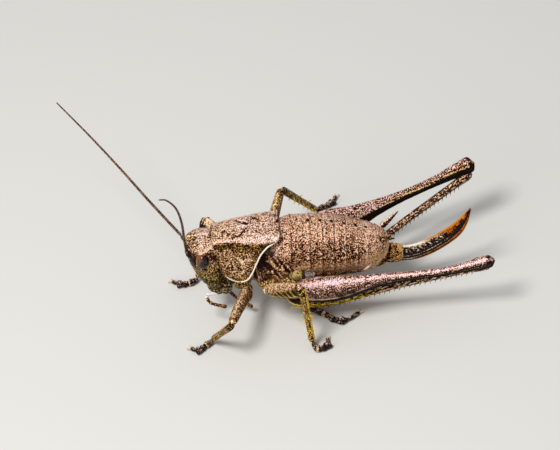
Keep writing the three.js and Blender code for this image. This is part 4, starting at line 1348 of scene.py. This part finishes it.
# ---- Ovipositor ----
# A sabre for laying eggs in bark: two pairs of flat valves lying against each other, so that it
# shows long grooves, with a thick folded root over a soft plate and fine teeth near the tip.
OVIPOSITOR_LINE = (
    (7.1, 0, -1.54), (7.5, 0, -1.52), (8.45, 0, -1.46), (9.5, 0, -1.1), (10.5, 0, -0.5),
    (11.4, 0, 0.24), (12.2, 0, 1.08), (12.84, 0, 2.2), (13.28, 0, 3.35),
)
OVIPOSITOR_PROFILE = (
    (0, 0.36, 0.88), (0.07, 0.36, 0.87), (0.2, 0.35, 0.85), (0.44, 0.29, 0.8), (0.6, 0.26, 0.76),
    (0.73, 0.24, 0.62), (0.86, 0.2, 0.38), (0.95, 0.13, 0.18), (1, 0.07, 0.05),
)
# Hard cuticle, polished by use and hardly speckled: grey and cream at the root, rust red to the tip.
blade_skin = cuticle(
    "ovipositor cuticle", plain=("#120a0a", "#5e5044", "#c0b090", "#fff8ec"),
    warm=("#1c0402", "#602004", "#984a08", "#d07e10"), speck=0.11, strewn=0.5, roughness=0.3,
)


def blade_relief(point, share, side, up):
    turned = around(abs(side), up)
    grooves = bell(turned - 72, 7) + bell(turned - 128, 4)
    teeth = 0.5 + 0.5 * math.sin(share * 260)
    edge = bell(turned, 14) * step_up(share, 0.86, 0.9) + bell(turned - 180, 16) * step_up(share, 0.74, 0.8)
    return -0.05 * grooves + 0.05 * teeth * edge * step_up(share, 1.0, 0.96)


def blade_paint(point, share, side, up):
    turned = around(abs(side), up)
    red = step_up(share, 0.52, 0.7)
    grey = 1 - red
    # The upper edge: a cream line that is partly painted highlight.
    back = bell(turned, 24)
    grooves = bell(turned - 82, 5) + bell(turned - 103, 5) + bell(turned - 129, 6)
    lower = bell(turned - 116, 5) + bell(turned - 148, 10)
    heart = red * bell(turned - 92, 24)
    dots = 1.6 * noise.noise(point * 7) * bell(turned - 56, 18) * grey
    dark = 1.3 * grooves * (1 - 0.4 * red) + 0.7 * heart + 0.3 * grey + dots
    dark += 0.6 * step_up(share, 0.9, 1)
    pale = 1.5 * back * (1 - 0.3 * red) + 1.1 * bell(turned - 93, 4) * grey
    pale += 1.1 * lower + 0.2 * red * (1 - heart)
    warm = 1.2 * red + 1.1 * lower * step_up(share, 0.1, 0.3) + 0.2
    warm += 0.9 * back * step_up(share, 0.28, 0.45)
    return Vector((dark, pale, warm))


blade = limb(
    new_shape(), OVIPOSITOR_LINE, OVIPOSITOR_PROFILE, UP, 48, 0.05, blade_relief, blade_paint,
)
put(blade, "ovipositor", blade_skin)

BASE_LINE = ((5.95, 0, -1.2), (6.95, 0, -1.38), (8.2, 0, -1.47))
BASE_PROFILE = ((0, 0.5, 0.85), (0.3, 0.63, 1.02), (0.6, 0.55, 0.99), (0.85, 0.42, 0.9), (1, 0.38, 0.86))
# The root's folds in side view.
UPPER_FOLD = ((6.1, -0.7), (7.2, -0.5))
MIDDLE_FOLD = ((6.4, -1.5), (7.6, -1.1))
LOWER_FOLD = ((6.3, -2.0), (7.5, -1.7))


def dark_folds(point):
    return bell(reach(point.xz, *UPPER_FOLD), 0.09) + bell(reach(point.xz, *MIDDLE_FOLD), 0.08)


def base_relief(point, share, side, up):
    return -0.08 * dark_folds(point) - 0.07 * bell(reach(point.xz, *LOWER_FOLD), 0.08)


def base_paint(point, share, side, up):
    dark = 0.8 * dark_folds(point) + 0.9 * bell(share - 0.25, 0.04) + step_up(up, -0.55, -0.8) + 0.3
    return Vector((dark, 0.3 + 0.4 * step_up(up, 0.5, 0.9), 0.75))


base = limb(new_shape(), BASE_LINE, BASE_PROFILE, UP, 48, 0.05, base_relief, base_paint)
put(base, "ovipositor_base", abdomen_skin)

PLATE_LINE = ((5.0, 0, -2.25), (5.75, 0, -2.25), (6.45, 0, -2.15))
PLATE_PROFILE = ((0, 0.75, 0.3), (0.6, 0.6, 0.28), (1, 0.36, 0.25))


def plate_relief(point, share, side, up):
    return -0.06 * bell(side, 0.12) * step_up(share, 0.6, 1)


def plate_paint(point, share, side, up):
    return Vector((0.4 + 0.3 * step_up(share, 0.8, 1), 0, 0.7))


plate = limb(new_shape(), PLATE_LINE, PLATE_PROFILE, UP, 36, 0.05, plate_relief, plate_paint)
put(plate, "subgenital_plate", abdomen_skin)

# ---- Cerci ----
# Two soft pointed feelers at the tail with a dark tip, set with fine hairs. The right one is painted
# pale on its lit side and dark on the other, as light and shade.
CERCI = {
    "left": ((5.75, -0.8, 1.0), (6.35, -1.05, 1.3), (6.95, -1.25, 1.5)),
    "right": ((5.95, 0.75, 0.95), (6.7, 1.05, 1.5), (7.42, 1.3, 2.15)),
}
CERCUS_PROFILE = ((0, 0.32, 0.32), (0.35, 0.23, 0.23), (0.7, 0.13, 0.13), (1, 0.04, 0.04))
HAIRS = 26
HAIR_LENGTH = 0.32
HAIR_RADIUS = 0.014
HAIR_MARKS = (0, 0.5, 0.4)
# Radians from one hair to the next round the cercus, so that they never line up.
HAIR_TURN = 2.4


def cercus_relief(point, share, side, up):
    return 0.02 * math.sin(share * 60) * step_up(share, 0.9, 0.7)


def cercus_paint(point, share, side, up):
    # The right one's lit side carries painted light, the rest painted shade; the left one is dull all over.
    dull, lit = (0.25, 0.4) if side_name == "left" else (0, step_up(side, -0.7, -0.2))
    return Vector((dull + (1 - lit) + 0.6 * step_up(share, 0.8, 1), 0.5 * lit, 0.2 + dull))


for side_name, line in CERCI.items():
    shape = limb(new_shape(), line, CERCUS_PROFILE, UP, 28, 0.04, cercus_relief, cercus_paint)
    _, at = line_through(line)
    for i in range(HAIRS):
        share = 0.2 + 0.75 * i / HAIRS
        spot, ahead = at(share)
        aside = ahead.cross(UP).normalized()
        out = aside * math.cos(i * HAIR_TURN) + ahead.cross(aside) * math.sin(i * HAIR_TURN)
        foot = spot + out * smooth_row(CERCUS_PROFILE, share)[0] * 0.9
        tip = foot + (out + ahead * 0.4) * HAIR_LENGTH
        thorn(shape, foot, tip, HAIR_RADIUS, HAIR_MARKS, HAIR_MARKS)
    put(shape, f"cercus_{side_name}", hind_skin)
